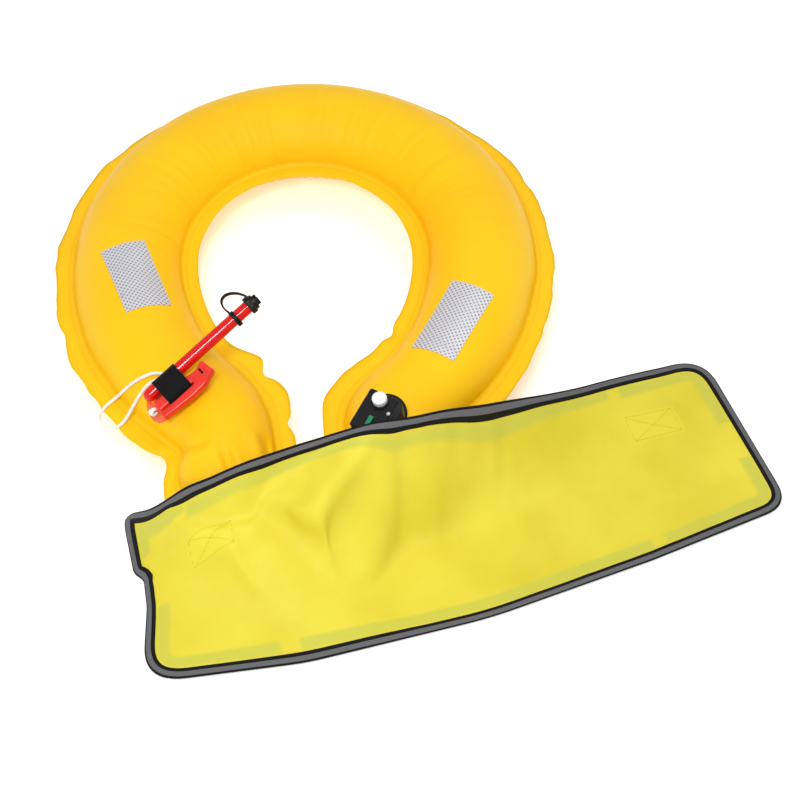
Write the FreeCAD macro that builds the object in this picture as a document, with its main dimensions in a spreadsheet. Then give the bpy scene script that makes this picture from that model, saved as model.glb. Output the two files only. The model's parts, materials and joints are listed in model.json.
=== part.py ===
"""Inflatable belt-pack life jacket, inflated, with its cover laid open in front of it.

Millimetres, +Z up, the jacket lying on the floor: origin under the middle of its box.
"""
import FreeCAD, Part
import math
import os
from FreeCAD import Placement, Rotation, Vector

doc = FreeCAD.newDocument("life_jacket")
sheet = doc.addObject("Spreadsheet::Sheet", "dimensions")
DIMENSIONS = {
    # bladder: centreline arcs, section half-axes, weld flange
    "seam_height": 54, "neck_radius": 201, "neck_rise": 216, "arm_radius": 320,
    "lobe_radius": 90, "tube_half_width": 60, "tube_half_height": 53.8,
    "lobe_half_width": 52, "lobe_half_height": 43, "skin": 1.0,
    "flange_width": 22, "flange_half": 0.8, "patch_width": 50, "patch_length": 100,
    "patch_thickness": 0.5, "boss_thickness": 1.5,
    # oral tube
    "hose_radius": 7, "hose_bore": 4.5, "hose_length": 130, "ball_radius": 6.7,
    "disc_radius": 17, "band_start": 9, "band_length": 30, "band_thickness": 1.2,
    "cap_radius": 10, "cap_step_radius": 8.5, "crown_radius": 6, "plug_radius": 4.2,
    "whistle_thickness": 9, "whistle_offset": 18, "cord_radius": 1.75,
    # inflator
    "body_width": 34, "body_length": 46, "body_thickness": 22, "body_clearance": 5,
    "stem_radius": 5.9, "nut_radius": 7.7, "nut_height": 7.5, "collar_radius": 9.5,
    "bottle_radius": 11, "bottle_length": 78, "neck_thread": 4.8, "pin_radius": 1.5,
    "manifold_radius": 24,
    # cover
    "cloth": 1.0, "strip": 1.2, "binding": 3.4, "binding_width": 13,
    "binding_lip": 1.2, "strip_width": 13, "strip_inset": 14,
}
for row, (alias, value) in enumerate(DIMENSIONS.items(), start=1):
    sheet.set(f"A{row}", alias)
    sheet.set(f"B{row}", str(value))
    sheet.setAlias(f"B{row}", alias)
doc.recompute()

Z = Vector(0, 0, 1)
parts = []


def dim(alias):
    return float(sheet.get(alias))


def add(kind, name, place=None, **bound):
    """A Part primitive or operation; each keyword binds a property to an expression."""
    item = doc.addObject(f"Part::{kind}", name)
    for prop, rule in bound.items():
        if isinstance(rule, str):
            for alias in sorted(DIMENSIONS, key=len, reverse=True):
                rule = rule.replace(f"@{alias}", f"dimensions.{alias}")
            item.setExpression(prop, rule)
        else:
            setattr(item, prop, rule)
    if place is not None:
        item.Placement = place
    return item


def cut(name, base, tool):
    return add("Cut", name, Base=base, Tool=tool)


def common(name, base, tool):
    return add("Common", name, Base=base, Tool=tool)


def fuse(name, *shapes):
    return add("MultiFuse", name, Shapes=list(shapes))


def solid(name, shape):
    """A free-form body whose shape is worked out with Part's own functions."""
    item = doc.addObject("Part::Feature", name)
    item.Shape = shape
    return item


def node(label, item):
    """Name a finished sub-part; its label is its file's name."""
    item.Label = label
    parts.append(item)
    return item


def at(frame, x=0, y=0, z=0, axis=Z, angle=0):
    """A placement inside a local frame."""
    return frame.multiply(Placement(Vector(x, y, z), Rotation(axis, angle)))


def along_x(frame, x=0, y=0, z=0):
    """A placement whose own Z runs along the frame's X."""
    return at(frame, x, y, z, Vector(0, 1, 0), 90)


def back_y(frame, x=0, y=0, z=0):
    """A placement whose own Z runs along the frame's -Y."""
    return at(frame, x, y, z, Vector(1, 0, 0), 90)


def ring(name, frame, outer, inner, height):
    """A washer or tube, from two cylinders."""
    body = add("Cylinder", f"{name}_outer", frame, Radius=outer, Height=height)
    bore = add("Cylinder", f"{name}_bore", frame, Radius=inner, Height=height)
    return cut(name, body, bore)


# ---- bladder -------------------------------------------------------------------------
RING_CENTRE = Vector(-111, 119, 0)
RING_TURN = 2.5
ARM_TURN = 44
LEFT_END = {"side": -1, "turn": 44, "run": 14}
RIGHT_END = {"side": 1, "turn": 25, "run": 0}
TAPER_BEFORE_END = 230
TAPER_LENGTH = 200
ring_frame = Placement(RING_CENTRE, Rotation(Z, RING_TURN))


def arm(end):
    """Centreline of one half, from the nape to the lobe: (place, heading) pairs."""
    r1, rise, r2, r3 = (dim(a) for a in ("neck_radius", "neck_rise", "arm_radius", "lobe_radius"))
    path = []
    for deg in range(90, -1, -15):
        a = math.radians(deg)
        path.append((r1 * math.cos(a), rise * math.sin(a),
                     math.atan2(-rise * math.cos(a), r1 * math.sin(a))))
    for deg in (15, 30, ARM_TURN):
        a = math.radians(deg)
        path.append((r1 - r2 + r2 * math.cos(a), -r2 * math.sin(a), -math.pi / 2 - a))
    x, y, heading = path[-1]
    cx, cy = x - r3 * math.sin(heading), y + r3 * math.cos(heading)
    for deg in (end["turn"] / 2, end["turn"]):
        g = heading + math.radians(deg)
        path.append((cx + r3 * math.sin(g), cy - r3 * math.cos(g), g))
    if end["run"]:
        x, y, g = path[-1]
        path.append((x + end["run"] * math.cos(g), y + end["run"] * math.sin(g), g))
    return [(end["side"] * x, y, g if end["side"] > 0 else math.pi - g) for x, y, g in path]


def stations():
    """Centreline from the left lobe over the nape to the right lobe, with half-axes."""
    left, right = arm(LEFT_END), arm(RIGHT_END)
    line = [(x, y, g + math.pi) for x, y, g in reversed(left)] + right[1:]
    travel = [0.0]
    for (x0, y0, _), (x1, y1, _) in zip(line, line[1:]):
        travel.append(travel[-1] + math.hypot(x1 - x0, y1 - y0))
    wide, tall = dim("tube_half_width"), dim("tube_half_height")
    lobe_wide, lobe_tall = dim("lobe_half_width"), dim("lobe_half_height")
    out = []
    for (x, y, g), s in zip(line, travel):
        left_over = min(s, travel[-1] - s)
        k = min(max((left_over - (TAPER_BEFORE_END - TAPER_LENGTH)) / TAPER_LENGTH, 0), 1)
        k = k * k * (3 - 2 * k)
        out.append((x, y, g, lobe_wide + (wide - lobe_wide) * k,
                    lobe_tall + (tall - lobe_tall) * k))
    return out


LINE = stations()
END_ANGLES = (24, 46, 66, 80)


def tube_sections(grow):
    """Ellipses along the centreline, shrinking into round ends."""
    x, y, g, wide, tall = LINE[0]
    rows = [(x, y, g, wide, tall, -a) for a in reversed(END_ANGLES)]
    rows += [station + (0,) for station in LINE]
    x, y, g, wide, tall = LINE[-1]
    rows += [(x, y, g, wide, tall, a) for a in END_ANGLES]
    sections = []
    for i, (x, y, g, wide, tall, deg) in enumerate(rows):
        a = math.radians(deg)
        wide, tall = wide + grow, tall + grow
        step = wide * math.sin(a)
        spot = ring_frame.multVec(Vector(x + step * math.cos(g), y + step * math.sin(g), 0))
        spot.z = dim("seam_height")
        turn = math.degrees(g) + RING_TURN
        upright = Rotation(Z, turn - 90).multiply(Rotation(Vector(1, 0, 0), 90))
        section = add("Ellipse", f"section_{grow:+.1f}_{i}".replace(".", "_"),
                      Placement(spot, upright))
        section.MajorRadius = wide * math.cos(a)
        section.MinorRadius = tall * math.cos(a)
        sections.append(section)
    return sections


def tube_solid(name, grow):
    return add("Loft", name, Sections=tube_sections(grow), Solid=True, Ruled=False)


def flange_outline():
    """Edge of the welded flange: smooth sides and a round end at each lobe."""
    reach = [(x, y, g, wide + dim("flange_width")) for x, y, g, wide, _ in LINE]

    def side(sign):
        spots = [Vector(x - sign * w * math.sin(g), y + sign * w * math.cos(g), 0)
                 for x, y, g, w in reach]
        curve = Part.BSplineCurve()
        curve.interpolate(spots)
        return spots, curve.toShape()

    outer, outer_edge = side(1)
    inner, inner_edge = side(-1)
    ends = []
    for (x, y, g, w), first, last, way in ((reach[-1], outer[-1], inner[-1], 1),
                                           (reach[0], inner[0], outer[0], -1)):
        tip = Vector(x + way * w * math.cos(g), y + way * w * math.sin(g), 0)
        ends.append(Part.Arc(first, tip, last).toShape())
    wire = Part.Wire(Part.__sortEdges__([outer_edge, ends[0], inner_edge, ends[1]]))
    wire.Placement = ring_frame
    return wire


tube = tube_solid("tube", 0)
air = tube_solid("air_space", -dim("skin"))
boss_layer_outer = tube_solid("boss_layer_outer", dim("boss_thickness"))
patch_layer_outer = tube_solid("patch_layer_outer", dim("patch_thickness"))
half = dim("flange_half")
plate_face = Part.Face(flange_outline())
plate_face.translate(Vector(0, 0, dim("seam_height") - half))
plate = solid("flange_plate", plate_face.extrude(Vector(0, 0, 2 * half)))
envelope = fuse("bladder_envelope", tube, plate)
bladder = cut("bladder_shell", envelope, air)
SPAN = 1000
above = add("Box", "above_seam", Placement(Vector(-SPAN / 2, -SPAN / 2, 0), Rotation()),
            Length=SPAN, Width=SPAN, Height=SPAN)
above.Placement.Base.z = dim("seam_height")
node("bladder_upper_skin", common("upper_skin", bladder, above))
node("bladder_lower_skin", cut("lower_skin", bladder, above))

patch_layer = cut("patch_layer", patch_layer_outer, tube)
PATCHES = {"left": (Vector(-292, 41, 60), 22), "right": (Vector(54, -19, 60), -27)}
for hand, (middle, turn) in PATCHES.items():
    frame = Placement(middle, Rotation(Z, turn))
    window = add("Box", f"patch_window_{hand}",
                 at(frame, -dim("patch_width") / 2, -dim("patch_length") / 2),
                 Length="@patch_width", Width="@patch_length", Height="@tube_half_height")
    node(f"reflective_patch_{hand}", common(f"patch_{hand}", patch_layer, window))
boss_layer = cut("boss_layer", boss_layer_outer, tube)

# ---- oral tube -----------------------------------------------------------------------
PIVOT = Vector(-262, -123, 98)
TUBE_YAW = 37.6
TUBE_PITCH = 21.6
tube_frame = Placement(PIVOT, Rotation(TUBE_YAW, -TUBE_PITCH, 0))
DISC_CENTRE = Vector(-254, -126, 84)
DISC_NORMAL = Vector(-0.45, -0.35, 0.82)
disc_frame = Placement(DISC_CENTRE, Rotation(Z, DISC_NORMAL))
HOSE_START = 6
DRUM_LENGTH = 5.6
NECK_RADIUS, NECK_LENGTH = 3.8, 14

disc_bore = add("Cylinder", "disc_bore", at(disc_frame, 0, 0, -30), Radius="@disc_radius", Height=60)
disc = common("tube_disc", boss_layer, disc_bore)
ball = add("Sphere", "elbow_ball", tube_frame, Radius="@ball_radius")
drum = add("Cylinder", "elbow_drum", back_y(tube_frame, 0, DRUM_LENGTH / 2), Radius="@ball_radius",
           Height=DRUM_LENGTH)
elbow = solid("elbow_neck_shape", Part.makeCylinder(NECK_RADIUS, NECK_LENGTH, DISC_CENTRE,
                                                    PIVOT - DISC_CENTRE))
elbow_neck = cut("elbow_neck", elbow, boss_layer_outer)
node("tube_flange", fuse("flange_with_ball", disc, ball, drum, elbow_neck))

hose = ring("hose", along_x(tube_frame, HOSE_START), "@hose_radius", "@hose_bore", "@hose_length")
seat = add("Sphere", "hose_seat", tube_frame, Radius="@ball_radius + 0.4")
node("oral_tube", cut("hose_with_seat", hose, seat))
HOSE_END = HOSE_START + dim("hose_length")

node("check_valve_body", ring("valve_body", along_x(tube_frame, HOSE_END - 18),
                              "@hose_bore", 2.0, 8))
poppet_head = add("Cylinder", "poppet_head", along_x(tube_frame, HOSE_END - 23),
                  Radius=3.4, Height=2)
poppet_stem = add("Cylinder", "poppet_stem", along_x(tube_frame, HOSE_END - 22),
                  Radius=1.5, Height=13)
node("valve_poppet", fuse("poppet", poppet_head, poppet_stem))

CAP_GAP = 0.3
cap_collar = add("Cylinder", "cap_collar", along_x(tube_frame, HOSE_END + CAP_GAP),
                 Radius="@cap_radius", Height=6)
cap_step = add("Cylinder", "cap_step", along_x(tube_frame, HOSE_END + 6),
               Radius="@cap_step_radius", Height=4)
cap_crown = add("Cylinder", "cap_crown", along_x(tube_frame, HOSE_END + 9),
                Radius="@crown_radius", Height=5)
cap_plug = add("Cylinder", "cap_plug", along_x(tube_frame, HOSE_END - 7),
               Radius="@plug_radius", Height=8)
cap_solid = fuse("cap_solid", cap_collar, cap_step, cap_crown, cap_plug)
slots = []
for k in range(2):
    slots.append(add("Box", f"crown_slot_{k}",
                     at(tube_frame, HOSE_END + 11, 0, 0, Vector(1, 0, 0), 90 * k)
                     .multiply(Placement(Vector(0, -8, -1.5), Rotation())),
                     Length=5, Width=16, Height=3))
node("dust_cap", cut("crowned_cap", cap_solid, fuse("crown_slots", *slots)))

RING_PLACE = HOSE_END - 20
tether_band = ring("tether_band", along_x(tube_frame, RING_PLACE), 8.4, "@hose_radius", 5)
nub = add("Box", "tether_nub", at(tube_frame, RING_PLACE, -10.5, -2), Length=5, Width=2.4, Height=4)
node("tether_ring", fuse("tether_ring_shape", tether_band, nub))
TETHER_REACH = 12.5
tether = add("Torus", "tether_loop", at(tube_frame, RING_PLACE + 2 + TETHER_REACH, 10.3, 0),
             Radius1=TETHER_REACH, Radius2=1.2, Angle3=180)
node("cap_tether", tether)

# the whistle lies beside the hose, on the side of its local -Y
WHISTLE_OUTLINE = [(-3, -5), (-3, 5), (44, 6), (63, 7), (59, -13), (50, -12), (39, -7)]
body = doc.addObject("PartDesign::Body", "whistle_body")
plane = next(f for f in body.Origin.OriginFeatures if f.Role == "XY_Plane")
sketch = body.newObject("Sketcher::SketchObject", "whistle_sketch")
sketch.AttachmentSupport = (plane, [""])
sketch.MapMode = "FlatFace"
corners = [Vector(x, y, 0) for x, y in WHISTLE_OUTLINE]
for start, stop in zip(corners, corners[1:] + corners[:1]):
    sketch.addGeometry(Part.LineSegment(start, stop))
pad = body.newObject("PartDesign::Pad", "whistle_pad")
pad.Profile = sketch
pad.Midplane = True
pad.setExpression("Length", "dimensions.whistle_thickness")
doc.recompute()
rounded = body.newObject("PartDesign::Fillet", "whistle_edges")
rounded.Base = (pad, ["Face1", "Face2"])
rounded.Radius = 2
body.Tip = rounded
WHISTLE_DROP = 1.0
whistle_frame = at(tube_frame, 0, -dim("whistle_offset"), -WHISTLE_DROP)
body.Placement = whistle_frame
lug = add("Cylinder", "whistle_lug", at(whistle_frame, -4.5, 0, -2), Radius=4, Height=4)
lug_hole = add("Cylinder", "whistle_lug_hole", at(whistle_frame, -5.5, 0, -10), Radius=1.8,
               Height=20)
sound_slot = add("Box", "sound_slot", at(whistle_frame, 48, -9, 1), Length=3, Width=13, Height=9)
node("whistle", cut("whistle_shape", fuse("whistle_solid", body, lug),
                    fuse("whistle_holes", lug_hole, sound_slot)))
node("whistle_knot", add("Torus", "knot_loop", at(whistle_frame, -9.2, 0, 0, Vector(1, 0, 0), 90),
                         Radius1=3.7, Radius2=1.5))
WHISTLE_SIDE = 9


def band_prism(name, grow):
    """Oblong sleeve section round the hose and the whistle."""
    reach = dim("whistle_offset")
    left = add("Cylinder", f"{name}_hose_side", along_x(tube_frame, dim("band_start")),
               Height="@band_length")
    left.Radius = dim("hose_radius") + grow
    box = add("Box", f"{name}_middle", tube_frame, Length="@band_length")
    box.Width = reach + WHISTLE_SIDE + grow
    box.Height = 2 * (dim("whistle_thickness") / 2 + 1.5 + grow)
    box.Placement = at(tube_frame, dim("band_start"), -box.Width.Value,
                       -box.Height.Value / 2 - WHISTLE_DROP)
    return fuse(name, left, box)


sleeve_outer = band_prism("band_outer", dim("band_thickness"))
sleeve_inner = band_prism("band_inner", 0)
node("elastic_band", cut("band", sleeve_outer, sleeve_inner))

# ---- inflator ------------------------------------------------------------------------
INFLATOR_YAW = -30
INFLATOR_TILT = 15
lobe_x, lobe_y, _, _, _ = LINE[-1]
lobe_end = ring_frame.multVec(Vector(lobe_x, lobe_y, 0))
down_slope = Rotation(Z, INFLATOR_YAW).multVec(Vector(0, -1, 0))
SLOPE_PLACE = 15
stem_foot = lobe_end + down_slope * SLOPE_PLACE + Vector(-3, 0, 0)
stem_foot.z = dim("seam_height") + dim("lobe_half_height") * math.sqrt(
    1 - (SLOPE_PLACE / dim("lobe_half_width")) ** 2)
inflator = Placement(stem_foot, Rotation(Z, INFLATOR_YAW).multiply(
    Rotation(Vector(1, 0, 0), INFLATOR_TILT)))
BOTTLE_X, BOTTLE_PORT_RADIUS = -1, 5.2
PIVOT_X, PIVOT_Y = -11.5, -10
PIVOT_LOW, PIVOT_LENGTH = 8, 16
LEVER_LOW, LEVER_HEIGHT, LEVER_LENGTH, LEVER_WIDTH, LEVER_TURN = 12, 8, 31, 5, 178
SLOT_LENGTH, SLOT_WIDTH, SLOT_ROOM = 23.5, 36, 1
CLIP_X, CLIP_Y, CLIP_LOW, CLIP_LEG_RADIUS = 1, -22, 22, 1.1
AXIS_Z = 16
TOP_Y = 10
GASKET_GAP = 2.2
PORT_Y, SEAL_Y = -25, -26.9
WASHER_THICKNESS = 1.5
PIN_BACK, PIN_HEAD_RADIUS, PIN_HEAD_LENGTH, PIN_SHANK_RADIUS, PIN_LENGTH = -14.5, 2.5, 2.5, 1.2, 10
CORNER_ROUND = 2.5
DEEP = 60
top_z = dim("body_clearance") + dim("body_thickness")

plate_bore = add("Cylinder", "manifold_bore", at(inflator, 0, 0, -DEEP / 2),
                 Radius="@manifold_radius", Height=DEEP)
manifold_plate = common("manifold_plate", boss_layer, plate_bore)
stem = add("Cylinder", "manifold_stem", at(inflator, 0, 0, 0.7), Radius="@stem_radius",
           Height="@body_clearance + @body_thickness + 5")
node("inflator_manifold", fuse("manifold", manifold_plate, stem))
node("lower_gasket", ring("lower_gasket_shape", at(inflator, 0, 0, GASKET_GAP), 9.0,
                          "@stem_radius", f"@body_clearance - {GASKET_GAP}"))

block = add("Box", "inflator_block",
            at(inflator, -dim("body_width") / 2, TOP_Y - dim("body_length"), dim("body_clearance")),
            Length="@body_width", Width="@body_length", Height="@body_thickness")
doc.recompute()
block_round = doc.addObject("Part::Fillet", "inflator_block_round")
block_round.Base = block
edge_numbers = range(1, len(block.Shape.Edges) + 1)
block_round.Edges = [(i, CORNER_ROUND, CORNER_ROUND) for i in edge_numbers]
hollows = [
    add("Cylinder", "stem_hole", at(inflator), Radius="@stem_radius", Height=DEEP),
    add("Cylinder", "bottle_port", back_y(inflator, BOTTLE_X, PORT_Y, AXIS_Z),
        Radius=BOTTLE_PORT_RADIUS, Height=DEEP),
    add("Cylinder", "pin_guide", back_y(inflator, BOTTLE_X, PIN_BACK + 2.5, AXIS_Z),
        Radius=PIN_HEAD_RADIUS + 0.4, Height=20),
    add("Box", "lever_slot", at(inflator, -SLOT_LENGTH - 6.5, -SLOT_WIDTH - 4, LEVER_LOW - SLOT_ROOM),
        Length=SLOT_LENGTH, Width=SLOT_WIDTH, Height=LEVER_HEIGHT + 2 * SLOT_ROOM),
    add("Cylinder", "pivot_hole", at(inflator, PIVOT_X, PIVOT_Y, PIVOT_LOW),
        Radius="@pin_radius", Height=PIVOT_LENGTH),
    add("Cylinder", "clip_hole", at(inflator, CLIP_X, CLIP_Y, CLIP_LOW),
        Radius=CLIP_LEG_RADIUS + 0.3, Height=DEEP),
]
node("inflator_body", cut("inflator_housing", block_round, fuse("inflator_hollows", *hollows)))
node("collar_washer", ring("collar_washer_shape", at(inflator, 0, 0, top_z),
                           "@collar_radius", "@stem_radius", WASHER_THICKNESS))
nut = add("Cylinder", "nut_blank", at(inflator, 0, 0, top_z + WASHER_THICKNESS), Radius="@nut_radius",
          Height="@nut_height")
nut_bore = add("Cylinder", "nut_bore", at(inflator), Radius="@stem_radius",
               Height="@body_clearance + @body_thickness + 5.7")
node("cap_nut", cut("nut", nut, nut_bore))

node("lever_pivot_pin", add("Cylinder", "pivot_pin", at(inflator, PIVOT_X, PIVOT_Y, PIVOT_LOW),
                            Radius="@pin_radius", Height=PIVOT_LENGTH))
hub = add("Cylinder", "lever_hub", at(inflator, PIVOT_X, PIVOT_Y, LEVER_LOW), Radius=4.5,
          Height=LEVER_HEIGHT)
arm_bar = add("Box", "lever_bar", at(inflator, PIVOT_X, PIVOT_Y, LEVER_LOW, Z, LEVER_TURN)
              .multiply(Placement(Vector(-LEVER_WIDTH / 2, 0, 0), Rotation())),
              Length=LEVER_WIDTH, Width=LEVER_LENGTH, Height=LEVER_HEIGHT)
lever_hole = add("Cylinder", "lever_hole", at(inflator, PIVOT_X, PIVOT_Y, 0),
                 Radius="@pin_radius + 0.3", Height=DEEP)
lever = cut("lever_shape", fuse("lever_solid", hub, arm_bar), lever_hole)
node("pull_lever", lever)

pin_shank = add("Cylinder", "pin_shank", back_y(inflator, BOTTLE_X, PIN_BACK, AXIS_Z),
                Radius=PIN_SHANK_RADIUS, Height=PIN_LENGTH)
pin_head = add("Cylinder", "pin_head", back_y(inflator, BOTTLE_X, PIN_BACK, AXIS_Z),
               Radius=PIN_HEAD_RADIUS, Height=PIN_HEAD_LENGTH)
node("firing_pin", fuse("pin", pin_shank, pin_head))
node("bottle_gasket", ring("gasket", back_y(inflator, BOTTLE_X, PORT_Y, AXIS_Z),
                           BOTTLE_PORT_RADIUS, 2.2, 1.8))

clip_plate = add("Box", "clip_plate", at(inflator, CLIP_X - 2.3, -30, top_z + 0.3), Length=4.6, Width=11,
                 Height=1.8)
clip_leg = add("Cylinder", "clip_leg", at(inflator, CLIP_X, CLIP_Y, CLIP_LOW + 0.5),
               Radius=CLIP_LEG_RADIUS, Height=6)
node("indicator_clip", fuse("clip", clip_plate, clip_leg))

SEAL_RECESS_RADIUS, SEAL_RECESS_DEPTH = 1.7, 1.4
SHOULDER_Y, BARREL_Y = -37, -46
neck = add("Cylinder", "bottle_neck", back_y(inflator, BOTTLE_X, SEAL_Y, AXIS_Z),
           Radius="@neck_thread", Height=12)
shoulder = add("Cone", "bottle_shoulder", back_y(inflator, BOTTLE_X, SHOULDER_Y, AXIS_Z),
               Radius1="@neck_thread", Radius2="@bottle_radius", Height=9)
barrel = add("Cylinder", "bottle_barrel", back_y(inflator, BOTTLE_X, BARREL_Y, AXIS_Z),
             Radius="@bottle_radius", Height="@bottle_length")
tail_y = BARREL_Y - dim("bottle_length")
tail = add("Sphere", "bottle_tail", back_y(inflator, BOTTLE_X, tail_y, AXIS_Z),
           Radius="@bottle_radius")
bottle = fuse("bottle_solid", neck, shoulder, barrel, tail)
recess = add("Cylinder", "seal_recess", back_y(inflator, BOTTLE_X, SEAL_Y, AXIS_Z),
             Radius=SEAL_RECESS_RADIUS, Height=SEAL_RECESS_DEPTH)
node("co2_cylinder", cut("bottle", bottle, recess))

# ---- cover ---------------------------------------------------------------------------
COVER_CENTRE = Vector(45.5, -201, 0)
COVER_TURN = 17.5
cover_frame = Placement(COVER_CENTRE, Rotation(Z, COVER_TURN))
DRAPE_STEP = 25
LOBE_HEIGHT = 107
BRIDGE_HEIGHT = 92
TENT_INNER, TENT_OUTER = 42, 116
RIDGE_INNER, RIDGE_OUTER = 20, 66
bottle_from = at(inflator, BOTTLE_X, -20, AXIS_Z).Base
bottle_to = at(inflator, BOTTLE_X, tail_y - dim("bottle_radius"), AXIS_Z).Base


def ease(k):
    k = min(max(k, 0), 1)
    return k * k * (3 - 2 * k)


def segment_distance(x, y, a, b):
    """Distance in plan from a segment, and how far along it, 0 to 1."""
    dx, dy = b.x - a.x, b.y - a.y
    k = min(max(((x - a.x) * dx + (y - a.y) * dy) / (dx * dx + dy * dy), 0), 1)
    return math.hypot(x - a.x - k * dx, y - a.y - k * dy), k


def drape(x, y):
    """Height of the cover's underside: over both lobes and the gas bottle, else flat."""
    height = 0
    for run in (LINE[:6], LINE[-5:]):
        spots = [ring_frame.multVec(Vector(px, py, 0)) for px, py, *_ in run]
        near = min(segment_distance(x, y, a, b)[0] for a, b in zip(spots, spots[1:]))
        rise = ease((TENT_OUTER - near) / (TENT_OUTER - TENT_INNER))
        height = max(height, LOBE_HEIGHT * rise)
    left_tip, right_tip = (ring_frame.multVec(Vector(*run[:2], 0)) for run in (LINE[0], LINE[-1]))
    near, _ = segment_distance(x, y, left_tip, right_tip)
    height = max(height, BRIDGE_HEIGHT * ease((TENT_OUTER - near) / (TENT_OUTER - TENT_INNER)))
    near, k = segment_distance(x, y, bottle_from, bottle_to)
    crown = (bottle_from.z + (bottle_to.z - bottle_from.z) * k) + dim("bottle_radius") + 14
    return max(height, crown * ease((RIDGE_OUTER - near) / (RIDGE_OUTER - RIDGE_INNER)))


def cloth_layer(bottom, thickness):
    """The draped surface as a layer, bottom mm above the cover's underside."""
    lows, highs = (-330, -450), (450, 60)
    counts = [int((hi - lo) / DRAPE_STEP) + 1 for lo, hi in zip(lows, highs)]
    poles = [[Vector(lows[0] + DRAPE_STEP * i, lows[1] + DRAPE_STEP * j, 0)
              for j in range(counts[1])] for i in range(counts[0])]
    for line in poles:
        for pole in line:
            pole.z = drape(pole.x, pole.y) + bottom
    surface = Part.BSplineSurface()
    mults = [[4] + [1] * (n - 4) + [4] for n in counts]
    knots = [list(range(len(m))) for m in mults]
    surface.buildFromPolesMultsKnots(poles, mults[0], mults[1], knots[0], knots[1],
                                     False, False, 3, 3)
    return surface.toShape().extrude(Vector(0, 0, thickness))


COLUMN_BELOW, COLUMN_ABOVE = 5, 255
# plan of the laid-open cover in its own frame: corners with their rounding radii
COVER_CORNERS = [
    (-332, 111, 28), (-321, -5, 60), (-343, -119, 34), (-190, -139, 300), (0, -140, 500),
    (180, -124, 400), (346, -102, 32), (341, 115, 38), (160, 117, 150), (90, 85, 80),
    (35, 59, 100), (-35, 38, 60), (-92, 33, 60), (-170, 47, 100), (-250, 43, 60),
    (-298, 82, 60),
]


def cover_outline(inset):
    """The cover's edge moved inwards: straight runs joined by tangent arcs."""
    spots = [Vector(x, y, 0) for x, y, _ in COVER_CORNERS]
    radii = [max(r - inset, 4) for _, _, r in COVER_CORNERS]
    count = len(spots)
    lines = []
    for i in range(count):
        along = (spots[(i + 1) % count] - spots[i]).normalize()
        lines.append((spots[i] + Z.cross(along) * inset, along))
    moved = []
    for (p, u), (q, v) in zip(lines[-1:] + lines[:-1], lines):
        k = (q - p).cross(v).z / u.cross(v).z
        moved.append(p + u * k)
    arcs = []
    for i, (spot, radius) in enumerate(zip(moved, radii)):
        a, b = spot - moved[i - 1], moved[(i + 1) % count] - spot
        half_turn = a.getAngle(b) / 2
        setback = min(radius * math.tan(half_turn), 0.48 * min(a.Length, b.Length))
        entry, leave = spot - a.normalize() * setback, spot + b.normalize() * setback
        bulge = setback * (1 / math.sin(half_turn) - 1 / math.tan(half_turn))
        crown = spot + ((entry + leave) * 0.5 - spot).normalize() * bulge
        arcs.append((entry, crown, leave))
    edges = []
    for (entry, crown, leave), (following, _, _) in zip(arcs, arcs[1:] + arcs[:1]):
        edges += [Part.Arc(entry, crown, leave).toShape(),
                  Part.LineSegment(leave, following).toShape()]
    wire = Part.Wire(edges)
    wire.Placement = cover_frame
    return wire


def prism(outline):
    """A plan outline as a column that stands clear of the cloth above and below."""
    face = Part.Face(outline)
    face.translate(Vector(0, 0, -COLUMN_BELOW))
    return face.extrude(Vector(0, 0, COLUMN_BELOW + COLUMN_ABOVE))


def window_column(x, y, length, width):
    """A rectangular column, placed in the cover's frame."""
    column = Part.makeBox(length, width, COLUMN_BELOW + COLUMN_ABOVE,
                          Vector(x, y, -COLUMN_BELOW))
    column.Placement = cover_frame.multiply(column.Placement)
    return column


layer = {"strip": cloth_layer(0, dim("strip")),
         "panel": cloth_layer(dim("strip"), dim("cloth")),
         "binding": cloth_layer(0, dim("binding"))}
panel = solid("panel_shape", layer["panel"].common(prism(cover_outline(dim("binding_lip")))))
node("cover_panel", panel)
rim = prism(cover_outline(0)).cut(prism(cover_outline(dim("binding_width"))))
node("cover_binding", solid("binding_shape", layer["binding"].common(rim).cut(panel.Shape)))

band_in, band_out = dim("strip_inset"), dim("strip_inset") + dim("strip_width")
strip_ring = prism(cover_outline(band_in)).cut(prism(cover_outline(band_out)))
STRIPS = {
    "rear": (-215, -10, 430, 230), "front": (-190, -200, 380, 150),
    "left_rear": (-330, 5, 60, 60), "right_rear": (230, 20, 130, 180),
    "left_front": (-330, -200, 120, 170), "right_front": (205, -200, 150, 170),
}
for place, (x, y, length, width) in STRIPS.items():
    window = window_column(x, y, length, width)
    node(f"hook_strip_{place}", solid(f"strip_{place}",
                                      layer["strip"].common(strip_ring.common(window))))
LOOP_WIDTH = 38
LEFT_LOOP = (-248, -20, 52)
RIGHT_LOOP = (222, 42, 60)
x, y, length = LEFT_LOOP
loop_column = window_column(x, y - LOOP_WIDTH / 2, length, LOOP_WIDTH)
node("belt_loop_left", solid("loop_left", layer["strip"].common(loop_column)))
# the right loop lies flat on the floor, where the cover is level
x, y, length = RIGHT_LOOP
node("belt_loop_right", add("Box", "loop_right", at(cover_frame, x, y - LOOP_WIDTH / 2),
                            Length=length, Width=LOOP_WIDTH, Height="@strip"))


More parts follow.
